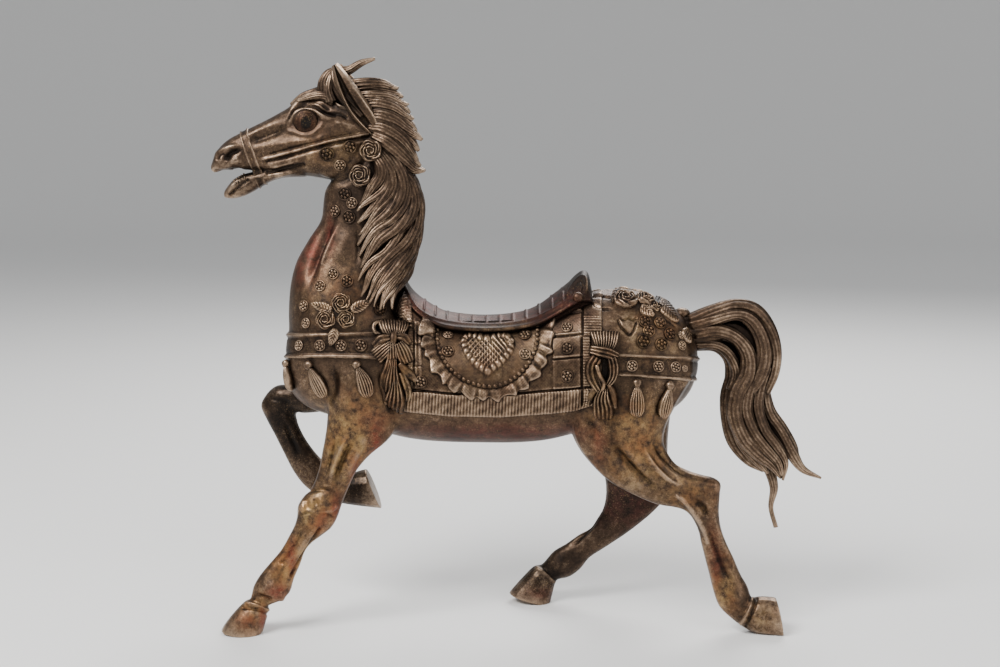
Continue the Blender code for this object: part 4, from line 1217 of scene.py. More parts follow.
# %% Locks of the mane
MANE = [
    [(371, 147, -19, 5, 5), (381, 164, -27, 8, 7), (381, 178, -27, 8, 7), (371, 192, -28, 6, 6),
     (359, 203, -28, 1.4, 3)],
    [(376, 145, -19, 6, 6), (390, 168, -24, 8.5, 8), (391, 187, -24, 9, 8), (379, 204, -27, 8, 7),
     (357, 222, -30, 1.4, 3)],
    [(384, 145, -18, 7, 7), (398, 170, -22, 9, 8), (400, 190, -22, 10, 8), (390, 210, -26, 9, 8),
     (372, 226, -30, 6, 6), (357, 245, -31, 1.4, 3)],
    [(394, 164, -18, 8, 8), (409, 184, -15, 9, 9), (410, 205, -15, 10, 9), (398, 226, -24, 10, 9),
     (378, 242, -31, 8, 7), (360, 268, -35, 1.4, 3)],
    [(404, 176, -11, 8, 9), (416, 197, -7, 7.5, 9), (415, 219, -9, 9, 9), (405, 239, -19, 10, 9),
     (388, 256, -30, 9, 8), (373, 274, -37, 5.2, 6), (366, 285, -40, 3.4, 4),
     (359, 296, -42, 0.9, 2)],
    [(413, 194, -5, 7, 9), (417, 222, -6, 7, 9), (411, 245, -12, 9, 9), (399, 262, -26, 9, 9),
     (384, 280, -37, 6, 6.5), (376, 291, -41, 3.6, 4.5),
     (368, 303, -45, 0.9, 2)],
    [(414, 228, -4, 7, 9), (410, 254, -9, 8, 9), (400, 272, -24, 8, 8), (390, 287, -38, 5, 5.5),
     (385, 297, -43, 3.2, 4), (379, 310, -47, 0.9, 2)],
    [(409, 250, -3, 8, 9), (405, 271, -10, 8, 9), (397, 286, -30, 5, 5.5), (394, 296, -38, 3.2, 4),
     (391, 309, -44, 0.9, 2)],
]
MANE_MASS = midline([
    (330, 84, 352, 98, 9), (345, 82, 366, 106, 11), (362, 88, 376, 122, 12),
    (384, 98, 374, 140, 14), (402, 122, 382, 158, 16), (411, 150, 388, 172, 18),
    (414, 180, 382, 192, 21), (416, 210, 374, 218, 25), (414, 236, 372, 248, 29),
    (407, 260, 374, 272, 34), (400, 280, 380, 288, 38), (394, 292, 386, 296, 40),
])
print("locks of the mane", len(MANE))

# %% Locks of the tail
TAIL = [
    [(664, 331, 0, 14, 15), (684, 331, 0, 18, 16), (704, 331, 0, 19, 16), (722, 332, 0, 13, 12)],
    [(690, 322, -5, 9, 10), (712, 313, -6, 9, 10), (735, 306, -7, 8, 10), (754, 311, -7, 9, 10),
     (768, 328, -7, 8, 10), (775, 350, -7, 7, 9), (773, 372, -6, 7, 8), (765, 392, -5, 6, 7)],
    [(690, 326, -9, 8, 8), (712, 320, -11, 7, 8), (736, 314, -12, 6.5, 8), (751, 320, -12, 8, 8),
     (761, 336, -12, 8.5, 8), (764, 355, -12, 9, 8), (759, 374, -12, 9, 8), (748, 392, -11, 8, 7)],
    [(694, 333, -8, 8, 9), (718, 330, -11, 7.5, 8), (737, 338, -12, 7, 8), (748, 354, -13, 8, 8),
     (748, 374, -13, 9, 8), (738, 394, -13, 9, 8), (736, 415, -12, 9, 8), (744, 437, -11, 8, 8),
     (758, 453, -9, 7, 6), (772, 465, -6, 5, 5), (781, 478, -3, 1.4, 2)],
    [(694, 343, -2, 7, 9), (716, 344, -3, 6, 8), (730, 354, -4, 6, 8), (737, 372, -4, 6, 8),
     (732, 390, -4, 6, 8)],
    [(694, 344, 3, 7, 9), (716, 346, 4, 6, 8), (729, 358, 5, 6, 8), (732, 376, 6, 7, 8),
     (727, 396, 7, 7, 8), (728, 420, 8, 7, 8), (735, 441, 9, 8, 8), (748, 460, 9, 5, 6),
     (763, 471, 8, 1.5, 3)],
    [(757, 372, -11, 7, 7), (748, 392, -13, 7, 7), (746, 412, -14, 7.5, 7), (754, 432, -13, 7, 7),
     (766, 448, -11, 6.5, 6), (777, 461, -8, 5, 5), (782, 475, -5, 2.6, 3)],
    [(766, 366, -7, 8, 8), (759, 388, -9, 7.5, 7), (757, 408, -11, 7, 7), (764, 430, -11, 7, 7),
     (776, 447, -9, 7, 6), (785, 463, -6, 4, 4), (783, 480, -4, 1.2, 2)],
    [(769, 366, 0, 8, 8), (764, 390, -2, 7, 8), (768, 412, -4, 6.5, 7), (781, 432, -5, 6.5, 7),
     (792, 453, -4, 6.5, 6), (803, 469, -2, 4, 4), (821, 478, -1, 1.2, 1.6)],
    [(764, 388, 2, 6, 7), (770, 410, 1, 6, 7), (782, 428, 0, 6, 7), (793, 447, 0, 5, 6),
     (798, 463, 0, 3, 4), (812, 474, 0, 1.2, 2)],
    [(770, 360, 6, 9, 9), (760, 390, 8, 9, 9), (752, 420, 10, 9, 9), (757, 446, 10, 8, 8),
     (768, 466, 8, 6, 6), (774, 487, 5, 4.5, 5), (771, 507, 4, 2.6, 3.5), (776, 527, 3, 2.4, 3)],
    [(694, 325, 5, 9, 10), (716, 318, 7, 9, 10), (740, 316, 8, 10, 10), (757, 332, 8, 10, 10),
     (760, 356, 8, 11, 10), (752, 380, 8, 11, 10), (742, 408, 8, 10, 9), (748, 440, 9, 7, 7)],
    [(690, 331, 0, 13, 10), (715, 331, 0, 14, 10), (737, 335, 0, 18, 9), (748, 353, 0, 17, 9),
     (749, 375, 0, 13, 9), (742, 405, 0, 12, 8), (746, 436, 0, 12, 7), (758, 457, 0, 8, 5),
     (768, 473, 0, 2, 3)],
]

print("locks of the tail", len(TAIL))

# %% Mane and tail
THREAD_DEPTH = 0.22
LEAST_WIDTH = 0.6


def lock(rows, threads=12, steps=7, turn=0.5, wave=0.0, far=False):
    """A lock of hair: a tapering sweep with a fluted section, waving as it goes."""
    dense = spline(rows, steps)
    middles = [spot(u, v, y) for u, v, y, _, _ in dense]
    if far:
        middles = [other_side(point) for point in middles]
    sides = threads * 4
    rings = []
    for i, (_, _, _, breadth, thickness) in enumerate(dense):
        travel = heading(middles, i)
        share = i / len(dense)
        edgewise = Vector((travel.z, 0, -travel.x)).normalized() * max(breadth, LEAST_WIDTH) * SQUARE
        outward = travel.cross(edgewise).normalized() * max(thickness, LEAST_WIDTH) * SQUARE
        sway = edgewise.normalized() * wave * math.sin(9 * share + wave) * share * SQUARE
        ring = []
        for k in range(sides):
            angle = 2 * math.pi * k / sides
            reach = fluted(angle + turn * share + math.pi / sides, threads, THREAD_DEPTH)
            reach *= 1 + 0.05 * math.sin(3 * angle + 5 * turn) + 0.03 * math.sin(5 * angle + 7 * share)
            ring.append(middles[i] + sway
                        + (edgewise * math.cos(angle) + outward * math.sin(angle)) * reach)
        rings.append(ring)
    return skin("lock", rings)


def halfway(first, second, out, slim):
    """A lock between two others of about the same length, further out and slimmer."""
    count = min(len(first), len(second))
    rows = []
    for a, b in zip(first[-count:], second[-count:]):
        u, v, y, breadth, thickness = [(p + q) / 2 for p, q in zip(a, b)]
        rows.append((u, v, y - out, breadth * slim, thickness * slim))
    return rows


# How far the locks sway, one after another.
LONG_WAVES = (1.4, -1.8, 2.2, -1.2)
SLIM_WAVES = (-3.0, 2.6, -2.2)
between = [halfway(a, b, out=2.5, slim=0.62) for a, b in zip(MANE, MANE[1:])]
mane_parts = [limb("mane_mass", MANE_MASS, sides=24)]
mane_parts += [lock(rows, turn=0.4) for rows in FORELOCK]
for far in (False, True):
    threads, steps = (12, 5) if far else (14, 7)
    for i, rows in enumerate(CREST + MANE):
        mane_parts.append(lock(rows, threads, steps, turn=0.3 + 0.13 * i,
                               wave=LONG_WAVES[i % len(LONG_WAVES)], far=far))
    mane_parts += [lock(halfway(a, b, out=-2.0, slim=1.0), threads=12, steps=6, far=far)
                   for a, b in zip(CREST, CREST[1:])]
    for i, rows in enumerate(between):
        mane_parts.append(lock(rows, threads=9, steps=6, turn=-0.4,
                               wave=SLIM_WAVES[i % len(SLIM_WAVES)], far=far))
mane = gathered("mane", mane_parts)
tail = gathered("tail", [lock(rows, threads=11, turn=0.3) for rows in TAIL])
print("mane", len(mane.data.polygons), "tail", len(tail.data.polygons))

# %% [markdown]
# ## Bows and tassels
# Bows of pleated ribbon cover the ends of the belts, and tassels hang under them from a bead.
# A ribbon is a strip laid along the body with a fluted section, broad where it fans out.

# %% Ribbons of the bows
FRONT_BOW = [
    # rows of one ribbon, how many pleats lie across it and how deep they are
    ([(380, 335.5, 3, 1.8, 2.4), (375.5, 333.5, 4, 2.2, 3), (373.6, 329, 4, 2.4, 3),
      (375.5, 324.5, 4, 2.2, 3), (381, 323, 3, 1.6, 2.4)], 0, 0),
    ([(394.5, 339, 4.5, 8, 4), (393, 331.5, 5.4, 14, 4.6), (392.5, 324, 3.6, 16.5, 3)], 11, 0.55),
    ([(393, 345, 5, 5, 4.5), (385, 350, 4.5, 7.5, 4.5), (376, 357, 3, 8.5, 3)], 6, 0.5),
    ([(398, 345, 5, 5, 4.5), (403, 353, 4.5, 8, 4.5), (408, 363, 3, 7.5, 3)], 5, 0.5),
    ([(391, 343, 5.5, 5, 4), (392, 351, 5.5, 5, 4), (392.5, 359.5, 4, 6, 3)], 4, 0.5),
    ([(374, 346, 3, 4, 3), (381, 341, 5.5, 5.4, 4.6), (390, 339.5, 5.5, 3.6, 4)], 2, 0.45),
    ([(396, 339.5, 5.5, 3.6, 4), (403, 340.5, 5.5, 5.4, 4.6), (409.5, 345, 3, 4, 3)], 2, 0.45),
    ([(393, 335, 5, 3, 4), (393, 340, 7, 4, 4.5), (393, 345, 5, 3, 4)], 0, 0),
    ([(390, 358, 3.5, 3, 3), (388, 366, 3.8, 3.4, 3.4), (386, 376, 3.4, 4.6, 3.4),
      (386, 392, 3, 5, 3), (387, 404, 2, 4, 2)], 2, 0.5),
    ([(394, 359, 4.2, 3, 3.6), (394, 369, 5.2, 4.4, 4.6), (393.5, 380, 5, 7.6, 4.6),
      (394, 391, 4, 9, 4)], 4, 0.65),
    ([(396, 378, 4.4, 3, 4), (396.5, 388, 6, 7, 5.2), (396.5, 398, 5.4, 10.6, 5),
      (396, 407, 2.6, 11.5, 2.6)], 5, 0.65),
    ([(400, 364, 4, 4, 3.6), (405, 370, 4.4, 4.6, 3.4), (411, 375, 4, 4.6, 3),
      (417, 380.5, 2.4, 3, 2)], 1, 0.6),
    ([(402, 372, 3.5, 4, 3.4), (407, 384, 3.8, 4.6, 3.6), (409, 393, 3, 4, 3),
      (408, 400, 2, 2.6, 2)], 2, 0.6),
]
REAR_BOW = [
    ([(604, 349, 4.5, 9, 4.5), (605, 341, 5, 12.5, 4.4), (605, 333, 3.5, 15, 3)], 10, 0.55),
    ([(591, 350, 4.5, 4.6, 3.6), (599, 351.5, 7, 5.6, 4), (608, 353, 7, 6, 4),
      (617, 356, 4, 4.4, 3.2)], 3, 0.6),
    ([(611, 357, 5, 5, 4.4), (613, 366, 5, 5.6, 4.6), (612, 376, 4.6, 4.8, 4.2),
      (607, 385, 4, 3, 3.4)], 3, 0.6),
    ([(597, 357, 5.6, 6, 4.6), (592, 366, 5.8, 7, 5), (593, 376, 5.8, 7.2, 5), (598, 386, 5, 5, 4.2),
      (603, 393, 4.2, 3, 3.6)], 3, 0.6),
    ([(596, 364, 8.4, 2.4, 3.4), (599, 373, 8.6, 2.6, 3.6), (603, 381, 7.6, 2.4, 3.4),
      (602, 389, 6.6, 2.4, 3.2)], 1, 0.3),
    ([(597, 386, 3.8, 4, 3.6), (592, 392, 4.2, 5, 3.8), (589, 400, 3, 4.6, 3),
      (587, 405, 1.6, 3, 2)], 1, 0.5),
    ([(604, 386, 4.4, 3.4, 4), (603.5, 394, 5.6, 6.4, 5), (603.5, 402, 5.8, 9, 5.2),
      (603.5, 411, 4.8, 10.4, 4.6), (603.5, 418, 2.4, 9, 2.4)], 5, 0.65),
    ([(608, 384, 4, 3, 3.4), (612, 391, 4, 4, 3.6), (614, 400, 3.4, 4, 3), (615, 408, 2, 2.6, 2)], 1, 0.5),
]
print("ribbons", len(FRONT_BOW + REAR_BOW))

# %% Bows and tassels
TASSELS = [
    # bead, end of the skirt, half the skirt's breadth
    (309.5, 364, 326, 396, 7.5), (357, 364, 368, 396, 8), (288.5, 363, 293, 389, 5),
    (637, 382.5, 636.5, 416, 8), (669, 384.5, 661, 417, 7.5),
]


def tassel(u, v, end_u, end_v, half, far):
    """A turned bead and the fluted skirt that hangs from it."""
    rise, slope = end_v - v, end_u - u
    bead = ribbon("bead", body_form, [
        (u - 0.1, v - 3.6, 2.4, 0.8, 0.8), (u, v - 2, 2.6, 3.4, 3), (u, v + 0.5, 2.8, 4.4, 3.8),
        (u, v + 3, 2.6, 3.2, 3), (u + 0.1, v + 4.2, 2.4, 2, 2)], far)
    skirt = ribbon("skirt", body_form, [
        (u + 0.1 * slope, v + 0.12 * rise, 3, 2, 2.4),
        (u + 0.25 * slope, v + 0.26 * rise, 3.2, 0.55 * half, 3.6),
        (u + 0.5 * slope, v + 0.5 * rise, 3.4, 0.92 * half, 4.4),
        (u + 0.75 * slope, v + 0.75 * rise, 3.2, half, 4.4),
        (u + 0.92 * slope, v + 0.92 * rise, 2.6, 0.75 * half, 3.6),
        (end_u, end_v, 1.6, 0.3 * half, 2)], far, pleats=6)
    return [bead, skirt]


trim_parts = []
for far in (False, True):
    for rows, pleats, depth in FRONT_BOW + REAR_BOW:
        trim_parts.append(ribbon("bow", body_form, rows, far, pleats, depth, steps=6))
    for row in TASSELS:
        trim_parts += tassel(*row, far)
trimmings = gathered("bows_and_tassels", trim_parts)
print("bows and tassels", len(trimmings.data.polygons))

# %% [markdown]
# ## Roses and leaves
# Full-blown roses sit on cheek, shoulder and croup with leaves beside them. A rose is a low dome
# with five petals round its edge and rings of four and three inside, and a leaf is a plate with
# a midrib and veins.

# %% Roses
ROSES = [
    # middle, radius, lift off the body
    (341, 303, 9.5, 0), (325.5, 319, 9.5, 0), (346, 319, 8.5, 0), (372, 151, 10.5, 8),
    (361, 176, 10.5, 4), (625.5, 300, 11.5, 1.5), (645, 299, 9.5, 1), (622, 286.5, 8, 0.5),
    (655, 306, 6.5, 0),
]
FAR_ROSES = [(341, 303, 9.5, 0), (325.5, 319, 9.5, 0), (372, 151, 10.5, 8), (627, 299, 10, 0),
             (645, 291, 9, 0)]
PETAL_RINGS = [
    # share of the radius, petals in the ring, how far round it is turned
    (0.95, 5, 0.3), (0.66, 4, 1.1), (0.38, 3, 2.3),
]
ROSE_RINGS = 28


def rose(u, v, radius, lift, sides=60, far=False):
    """A low dome of petals: each ring of lips leans over the next one in."""
    middle, normal = laid(body_form, u, v, lift - 0.6, far)
    upright = Vector((0, 0, 1)) - normal * normal.z
    upright.normalize()
    side = upright.cross(normal).normalized()
    rings = []
    for share in (1.0, *np.linspace(1.03, 0.03, ROSE_RINGS)):
        ring = []
        for k in range(sides):
            angle = 2 * math.pi * k / sides
            lip = 0.0
            for place, petals, turned in PETAL_RINGS:
                along = (petals * (angle + turned + 0.02 * u) / (2 * math.pi)) % 1
                rim = place * (0.81 + 0.23 * along)
                near = share - rim
                lip = max(lip, math.exp(-(near / (0.05 if near > 0 else 0.11)) ** 2)
                          * (0.55 + 0.45 * math.sin(math.pi * along) ** 0.5))
            reach = radius * share * (1 + 0.05 * share * math.cos(5 * angle + 2 + 0.02 * u))
            height = 1.2 + 2.8 * (1 - share ** 2) + 2.2 * lip if rings else -4.0
            ring.append(middle + SQUARE * (
                side * reach * math.cos(angle) + upright * reach * math.sin(angle)
                + normal * height * radius / 10))
        rings.append(ring)
    return skin("rose", rings)


print("roses", len(ROSES + FAR_ROSES))

# %% Leaves
LEAVES = [
    # stalk end, tip, half the breadth, and how far it stands off over a belt
    ((350, 311), (372, 300), 6), ((333, 311), (311, 303), 5.5), ((336, 328), (331, 346), 5.5, 2),
    ((659, 301), (678, 323), 6), ((640, 307), (654, 317), 5), ((684, 328), (689, 344), 4),
    ((634, 289), (650, 283), 5), ((648, 286), (668, 301), 5), ((620, 290), (612, 303), 5),
]
FAR_LEAVES = [((350, 311), (372, 300), 6), ((333, 311), (311, 303), 5.5),
              ((659, 301), (678, 323), 6)]
LEAF_LENGTHWISE = 38
LEAF_ACROSS = 19
VEIN_PITCH = 3.1


def leaf(stalk, tip, half, lift=0, far=False):
    """A veined plate from its stalk to its tip, half is half its breadth."""
    start, along = np.array(stalk, float), np.array(tip, float) - np.array(stalk, float)
    beside = np.array((-along[1], along[0])) / np.linalg.norm(along)
    s = np.linspace(0.02, 0.98, LEAF_LENGTHWISE)[None, :]
    t = np.linspace(-1, 1, LEAF_ACROSS)[:, None]
    breadth = half * np.sin(math.pi * s ** 0.75) ** 0.8
    u = start[0] + along[0] * s + beside[0] * t * breadth
    v = start[1] + along[1] * s + beside[1] * t * breadth
    veins = ribs(s * np.linalg.norm(along) - 5 * np.abs(t), VEIN_PITCH)
    height = lift + 1.5 + 1.5 * veins - 0.8 * t ** 4 + 0.7 * np.exp(-(t / 0.12) ** 2)
    height[[0, -1]] = -0.5
    height[:, [0, -1]] = -0.5
    under = np.full_like(height, -3)
    return slab("leaf", relief(body_form, u, v, height, far), relief(body_form, u, v, under, far))


bloom_parts = [rose(*row) for row in ROSES]
bloom_parts += [rose(*row, sides=30, far=True) for row in FAR_ROSES]
bloom_parts += [leaf(*row) for row in LEAVES]
bloom_parts += [leaf(*row, far=True) for row in FAR_LEAVES]
bloom_parts += [ball("crupper", 682, 314, 0, (8.5, 9, 6.5))]
blooms = gathered("roses_and_leaves", bloom_parts)
print("roses and leaves", len(blooms.data.polygons))

# %% [markdown]
# ## Rosettes and beads
# Small rosettes and beads were pressed from one mould again and again, so each is modelled once
# and set many times by Geometry Nodes. The points carry the way they face and their size, and a
# seed turns each one a little differently. The result is baked to a plain mesh.

# %% Where rosettes and beads go
ROSETTES = [
    # on the neck and the breast: middle and radius
    (345, 194, 6.5), (352, 203, 5.5), (335, 211, 6), (349, 217, 6.5), (333, 274, 5.5),
    (347, 281, 6), (320, 286, 5.5), (304, 306, 5.5), (306, 323, 5), (380, 309, 6.5),
    # on the cheek
    (327, 154, 7), (350, 147, 6.5), (340, 165, 5.5), (380, 130, 5),
    # on the breast belt and the rump belt
    (299, 345.5, 5), (320, 345.5, 5.5), (341, 345.5, 5.5), (361, 345.5, 6), (379, 345.5, 5),
    (632, 365.7, 5.5), (658.6, 366.4, 5.5), (675.7, 367, 5.2), (685, 368.6, 3.2),
    # on the apron and the blanket
    (448, 335, 5), (490, 330, 4), (525, 335, 6), (448, 351, 6), (525, 354, 5.5), (511, 341, 3),
    (421, 382, 6), (568, 308, 4), (567, 327, 5.5), (567, 348, 6), (567, 376, 6),
    # on the croup
    (643.6, 341.4, 7), (649, 331, 6), (645, 321.5, 6.5), (660, 323, 6.2), (670, 334, 6.5),
    (661.4, 344.3, 6.5), (682, 345.5, 4.6), (681.4, 335.5, 4),
]
# The far side has only the larger ones.
FAR_ROSETTES = [row for row in ROSETTES if row[2] > 4.5]
BEADS_ON_APRON = 36
BEAD = 2.3
SMALL_BEAD = 1.4


def form_of(pieces):
    """Several objects as one form to lay things on."""
    verts, faces = [], []
    for piece in pieces:
        start = len(verts)
        verts += [vertex.co.copy() for vertex in piece.data.vertices]
        faces += [[start + k for k in face.vertices] for face in piece.data.polygons]
    return BVHTree.FromPolygons(verts, faces)


def set_points(name, rows):
    """A mesh of loose points with the way they face and their size."""
    mesh = bpy.data.meshes.new(name)
    mesh.from_pydata([tuple(place) for place, _, _ in rows], [], [])
    facing = mesh.attributes.new("facing", "FLOAT_VECTOR", "POINT")
    facing.data.foreach_set("vector", [value for _, normal, _ in rows for value in normal])
    size = mesh.attributes.new("size", "FLOAT", "POINT")
    size.data.foreach_set("value", [radius * SQUARE for _, _, radius in rows])
    return in_scene(name, mesh)


def on_dress(u, v, radius, far, sink=0.5):
    """A place on the dressed body, sunk a little, facing as the body under it faces."""
    place, _ = laid(dressed_form, u, v, 0, far)
    _, normal = laid(body_form, u, v, 0, far)
    return place - normal * sink * SQUARE, normal, radius


dressed_form = form_of([body, near_blanket, far_blanket, near_apron, far_apron, belts])
rosette_rows = [on_dress(*row, far=False) for row in ROSETTES]
rosette_rows += [on_dress(*row, far=True) for row in FAR_ROSETTES]
bead_rows = []
for far in (False, True):
    angles = np.linspace(3, 177, BEADS_ON_APRON)
    reach = polar(APRON_FIELD, angles) - 1.6
    for angle, radius in zip(np.radians(angles), reach):
        bead_rows.append(on_dress(APRON_CENTRE[0] + radius * math.cos(angle),
                                  APRON_CENTRE[1] + radius * math.sin(angle), BEAD, far, 0.3))
    for u, v, _, _, _ in TASSELS:
        bead_rows.append(on_dress(u, v + 4.4, SMALL_BEAD, far, -2.0))
print("rosettes", len(rosette_rows), "beads", len(bead_rows))

# %% [markdown]
# The rosette tree joins a disc, a raised ring, a round of petals and a boss, and the bead tree
# is a single ball. The seed and, for the rosette, the number of petals are named inputs.

# %% Tools for node trees
def feed(tree, socket, value):
    """Links an output to a socket, or sets the socket's own value."""
    if isinstance(value, bpy.types.NodeSocket):
        tree.links.new(value, socket)
    else:
        socket.default_value = value


def adder(tree):
    """A helper that adds a node to a tree, given its settings and its inputs by name."""
    def add(kind, settings=None, **values):
        """One new node."""
        node = tree.nodes.new(kind)
        for label, value in (settings or {}).items():
            setattr(node, label, value)
        for label, value in values.items():
            feed(tree, node.inputs[label.replace("_", " ")], value)
        return node

    return add


def new_tree(name, inputs):
    """A node tree with the named inputs, and a helper that adds nodes to it."""
    tree = bpy.data.node_groups.new(name, "GeometryNodeTree")
    tree.interface.new_socket("Points", in_out="INPUT", socket_type="NodeSocketGeometry")
    for label, kind in inputs:
        tree.interface.new_socket(label, in_out="INPUT", socket_type=kind)
    tree.interface.new_socket("Mesh", in_out="OUTPUT", socket_type="NodeSocketGeometry")
    return tree, adder(tree), tree.nodes.new("NodeGroupInput"), tree.nodes.new("NodeGroupOutput")


def setting_out(add, source, shape):
    """Sets a shape on every point, turned to face outward and spun by the seed."""
    facing = add("GeometryNodeInputNamedAttribute", {"data_type": "FLOAT_VECTOR"}, Name="facing")
    size = add("GeometryNodeInputNamedAttribute", {"data_type": "FLOAT"}, Name="size")
    upright = add("FunctionNodeAlignRotationToVector", {"axis": "Z"}, Vector=facing.outputs["Attribute"])
    spin = add("FunctionNodeRandomValue", {"data_type": "FLOAT"}, Seed=source.outputs["Seed"])
    for socket in spin.inputs:
        if socket.name == "Max" and socket.type == "VALUE":
            socket.default_value = 2 * math.pi
    number = [socket for socket in spin.outputs if socket.type == "VALUE"][0]
    about = add("ShaderNodeCombineXYZ", Z=number)
    turned = add("FunctionNodeRotateRotation", {"rotation_space": "LOCAL"},
                 Rotation=upright.outputs["Rotation"], Rotate_By=about.outputs["Vector"])
    placed = add("GeometryNodeInstanceOnPoints", Points=source.outputs["Points"], Instance=shape,
                 Rotation=turned.outputs["Rotation"], Scale=size.outputs["Attribute"])
    real = add("GeometryNodeRealizeInstances", Geometry=placed.outputs["Instances"])
    soft = add("GeometryNodeSetShadeSmooth", Geometry=real.outputs["Geometry"])
    return add("GeometryNodeSetMaterial", Geometry=soft.outputs["Geometry"],
               Material=source.outputs["Material"]).outputs["Geometry"]


print("tree tools ready")

# %% Rosettes and beads
def rosette_tree():
    """Disc, raised rim, petals and boss of a rosette one unit in radius."""
    tree, add, source, out = new_tree("rosettes", [
        ("Petals", "NodeSocketInt"), ("Seed", "NodeSocketInt"), ("Material", "NodeSocketMaterial")])
    disc = add("GeometryNodeMeshCylinder", Vertices=24, Radius=0.9, Depth=0.5)
    low = add("GeometryNodeTransform", Geometry=disc.outputs["Mesh"], Translation=(0, 0, 0))
    circle = add("GeometryNodeCurvePrimitiveCircle", Resolution=24, Radius=0.92)
    wire = add("GeometryNodeCurvePrimitiveCircle", Resolution=6, Radius=0.13)
    rim = add("GeometryNodeCurveToMesh", Curve=circle.outputs["Curve"],
              Profile_Curve=wire.outputs["Curve"])
    rim_up = add("GeometryNodeTransform", Geometry=rim.outputs["Mesh"], Translation=(0, 0, 0.22))
    round_of = add("GeometryNodeMeshCircle", Vertices=source.outputs["Petals"], Radius=0.55)
    petal = add("GeometryNodeMeshUVSphere", Segments=8, Rings=5, Radius=0.25)
    petals = add("GeometryNodeInstanceOnPoints", Points=round_of.outputs["Mesh"],
                 Instance=petal.outputs["Mesh"])
    petals_up = add("GeometryNodeTransform", Geometry=petals.outputs["Instances"],
                    Translation=(0, 0, 0.26), Scale=(1, 1, 0.8))
    boss = add("GeometryNodeMeshIcoSphere", Subdivisions=2, Radius=0.26)
    boss_up = add("GeometryNodeTransform", Geometry=boss.outputs["Mesh"], Translation=(0, 0, 0.34))
    flower = add("GeometryNodeJoinGeometry")
    for part in (low, rim_up, petals_up, boss_up):
        tree.links.new(part.outputs["Geometry"], flower.inputs["Geometry"])
    tree.links.new(setting_out(add, source, flower.outputs["Geometry"]), out.inputs["Mesh"])
    return tree


def bead_tree():
    """A ball one unit in radius."""
    tree, add, source, out = new_tree("beads", [
        ("Seed", "NodeSocketInt"), ("Material", "NodeSocketMaterial")])
    bead = add("GeometryNodeMeshIcoSphere", Subdivisions=2, Radius=1.0)
    tree.links.new(setting_out(add, source, bead.outputs["Mesh"]), out.inputs["Mesh"])
    return tree


def grown(host, tree, **values):
    """Runs a tree on a mesh of points and keeps the plain mesh it makes."""
    nodes = host.modifiers.new(tree.name, "NODES")
    nodes.node_group = tree
    for item in tree.interface.items_tree:
        if item.in_out == "INPUT" and item.name in values:
            nodes[item.identifier] = values[item.name]
    return baked(host)


bronze = bpy.data.materials.new("bronze")
rosettes = grown(set_points("rosettes", rosette_rows), rosette_tree(),
                 Petals=6, Seed=7, Material=bronze)
beads = grown(set_points("beads", bead_rows), bead_tree(), Seed=3, Material=bronze)
print("rosettes", len(rosettes.data.polygons), "beads", len(beads.data.polygons))

# %% [markdown]
# ## Wear and patina
# Patina stays in the hollows and wears off the ridges. For every point the bend of the surface is
# measured from its neighbours, close by and further round, and kept as an attribute. Further
# attributes mark where the photo shows warm rubbed metal and dark red ground colour, and where
# shade is painted into the colour: in recesses, by how closed in each point is, and over marked
# areas such as the far legs, the undersides and the drilled pupil.

# %% Marked areas
WARM_AREAS = [
    # side, strength, centre, radii: where bare coppery metal shows
    ("near", 0.9, (345, 445), (34, 42)), ("near", 0.9, (315, 510), (26, 26)),
    ("near", 1.0, (288, 560), (24, 34)), ("near", 0.7, (252, 610), (22, 22)),
    ("near", 0.5, (362, 410), (34, 26)), ("near", 0.7, (640, 452), (40, 34)),
    ("near", 0.6, (628, 425), (42, 30)), ("near", 0.5, (690, 492), (30, 22)),
    ("near", 0.35, (722, 560), (16, 44)), ("near", 0.4, (762, 615), (20, 16)),
    ("near", 0.8, (722, 590), (14, 24)), ("both", 0.4, (306, 121.5), (11, 10)),
    ("both", 0.35, (655, 330), (40, 30)), ("both", 0.3, (340, 300), (40, 34)),
    ("both", 0.25, (330, 150), (40, 20)), ("near", 0.45, (398, 372), (18, 40)),
    ("near", 0.35, (602, 378), (16, 40)), ("both", 0.2, (490, 355), (70, 44)),
]
RED_AREAS = [
    ("near", 0.6, (312, 252), (9, 26)), ("near", 0.5, (300, 268), (6, 18)),
    ("both", 0.5, (306, 121.5), (9, 8)),
    ("near", 0.9, (376, 444), (9, 24)), ("near", 0.8, (356, 476), (7, 18)),
    ("near", 0.8, (336, 510), (6, 14)), ("near", 0.7, (322, 520), (8, 10)),
    ("near", 0.9, (292, 556), (5, 22)), ("near", 0.9, (278, 592), (12, 8)),
    ("near", 1.0, (263, 620), (5, 12)), ("near", 0.5, (244, 622), (12, 10)),
    ("both", 0.6, (500, 434), (90, 9)), ("far", 0.7, (612, 505), (22, 16)),
    ("far", 0.5, (540, 594), (16, 6)), ("both", 0.35, (430, 304), (26, 12)),
    ("both", 0.35, (495, 314), (66, 9)), ("both", 0.3, (562, 300), (22, 10)),
    ("near", 0.6, (716, 562), (7, 36)), ("near", 0.4, (372, 420), (14, 12)),
    ("near", 0.5, (600, 440), (8, 20)), ("far", 0.8, (630, 500), (26, 24)),
    ("both", 0.5, (330, 235), (5, 20)),
]
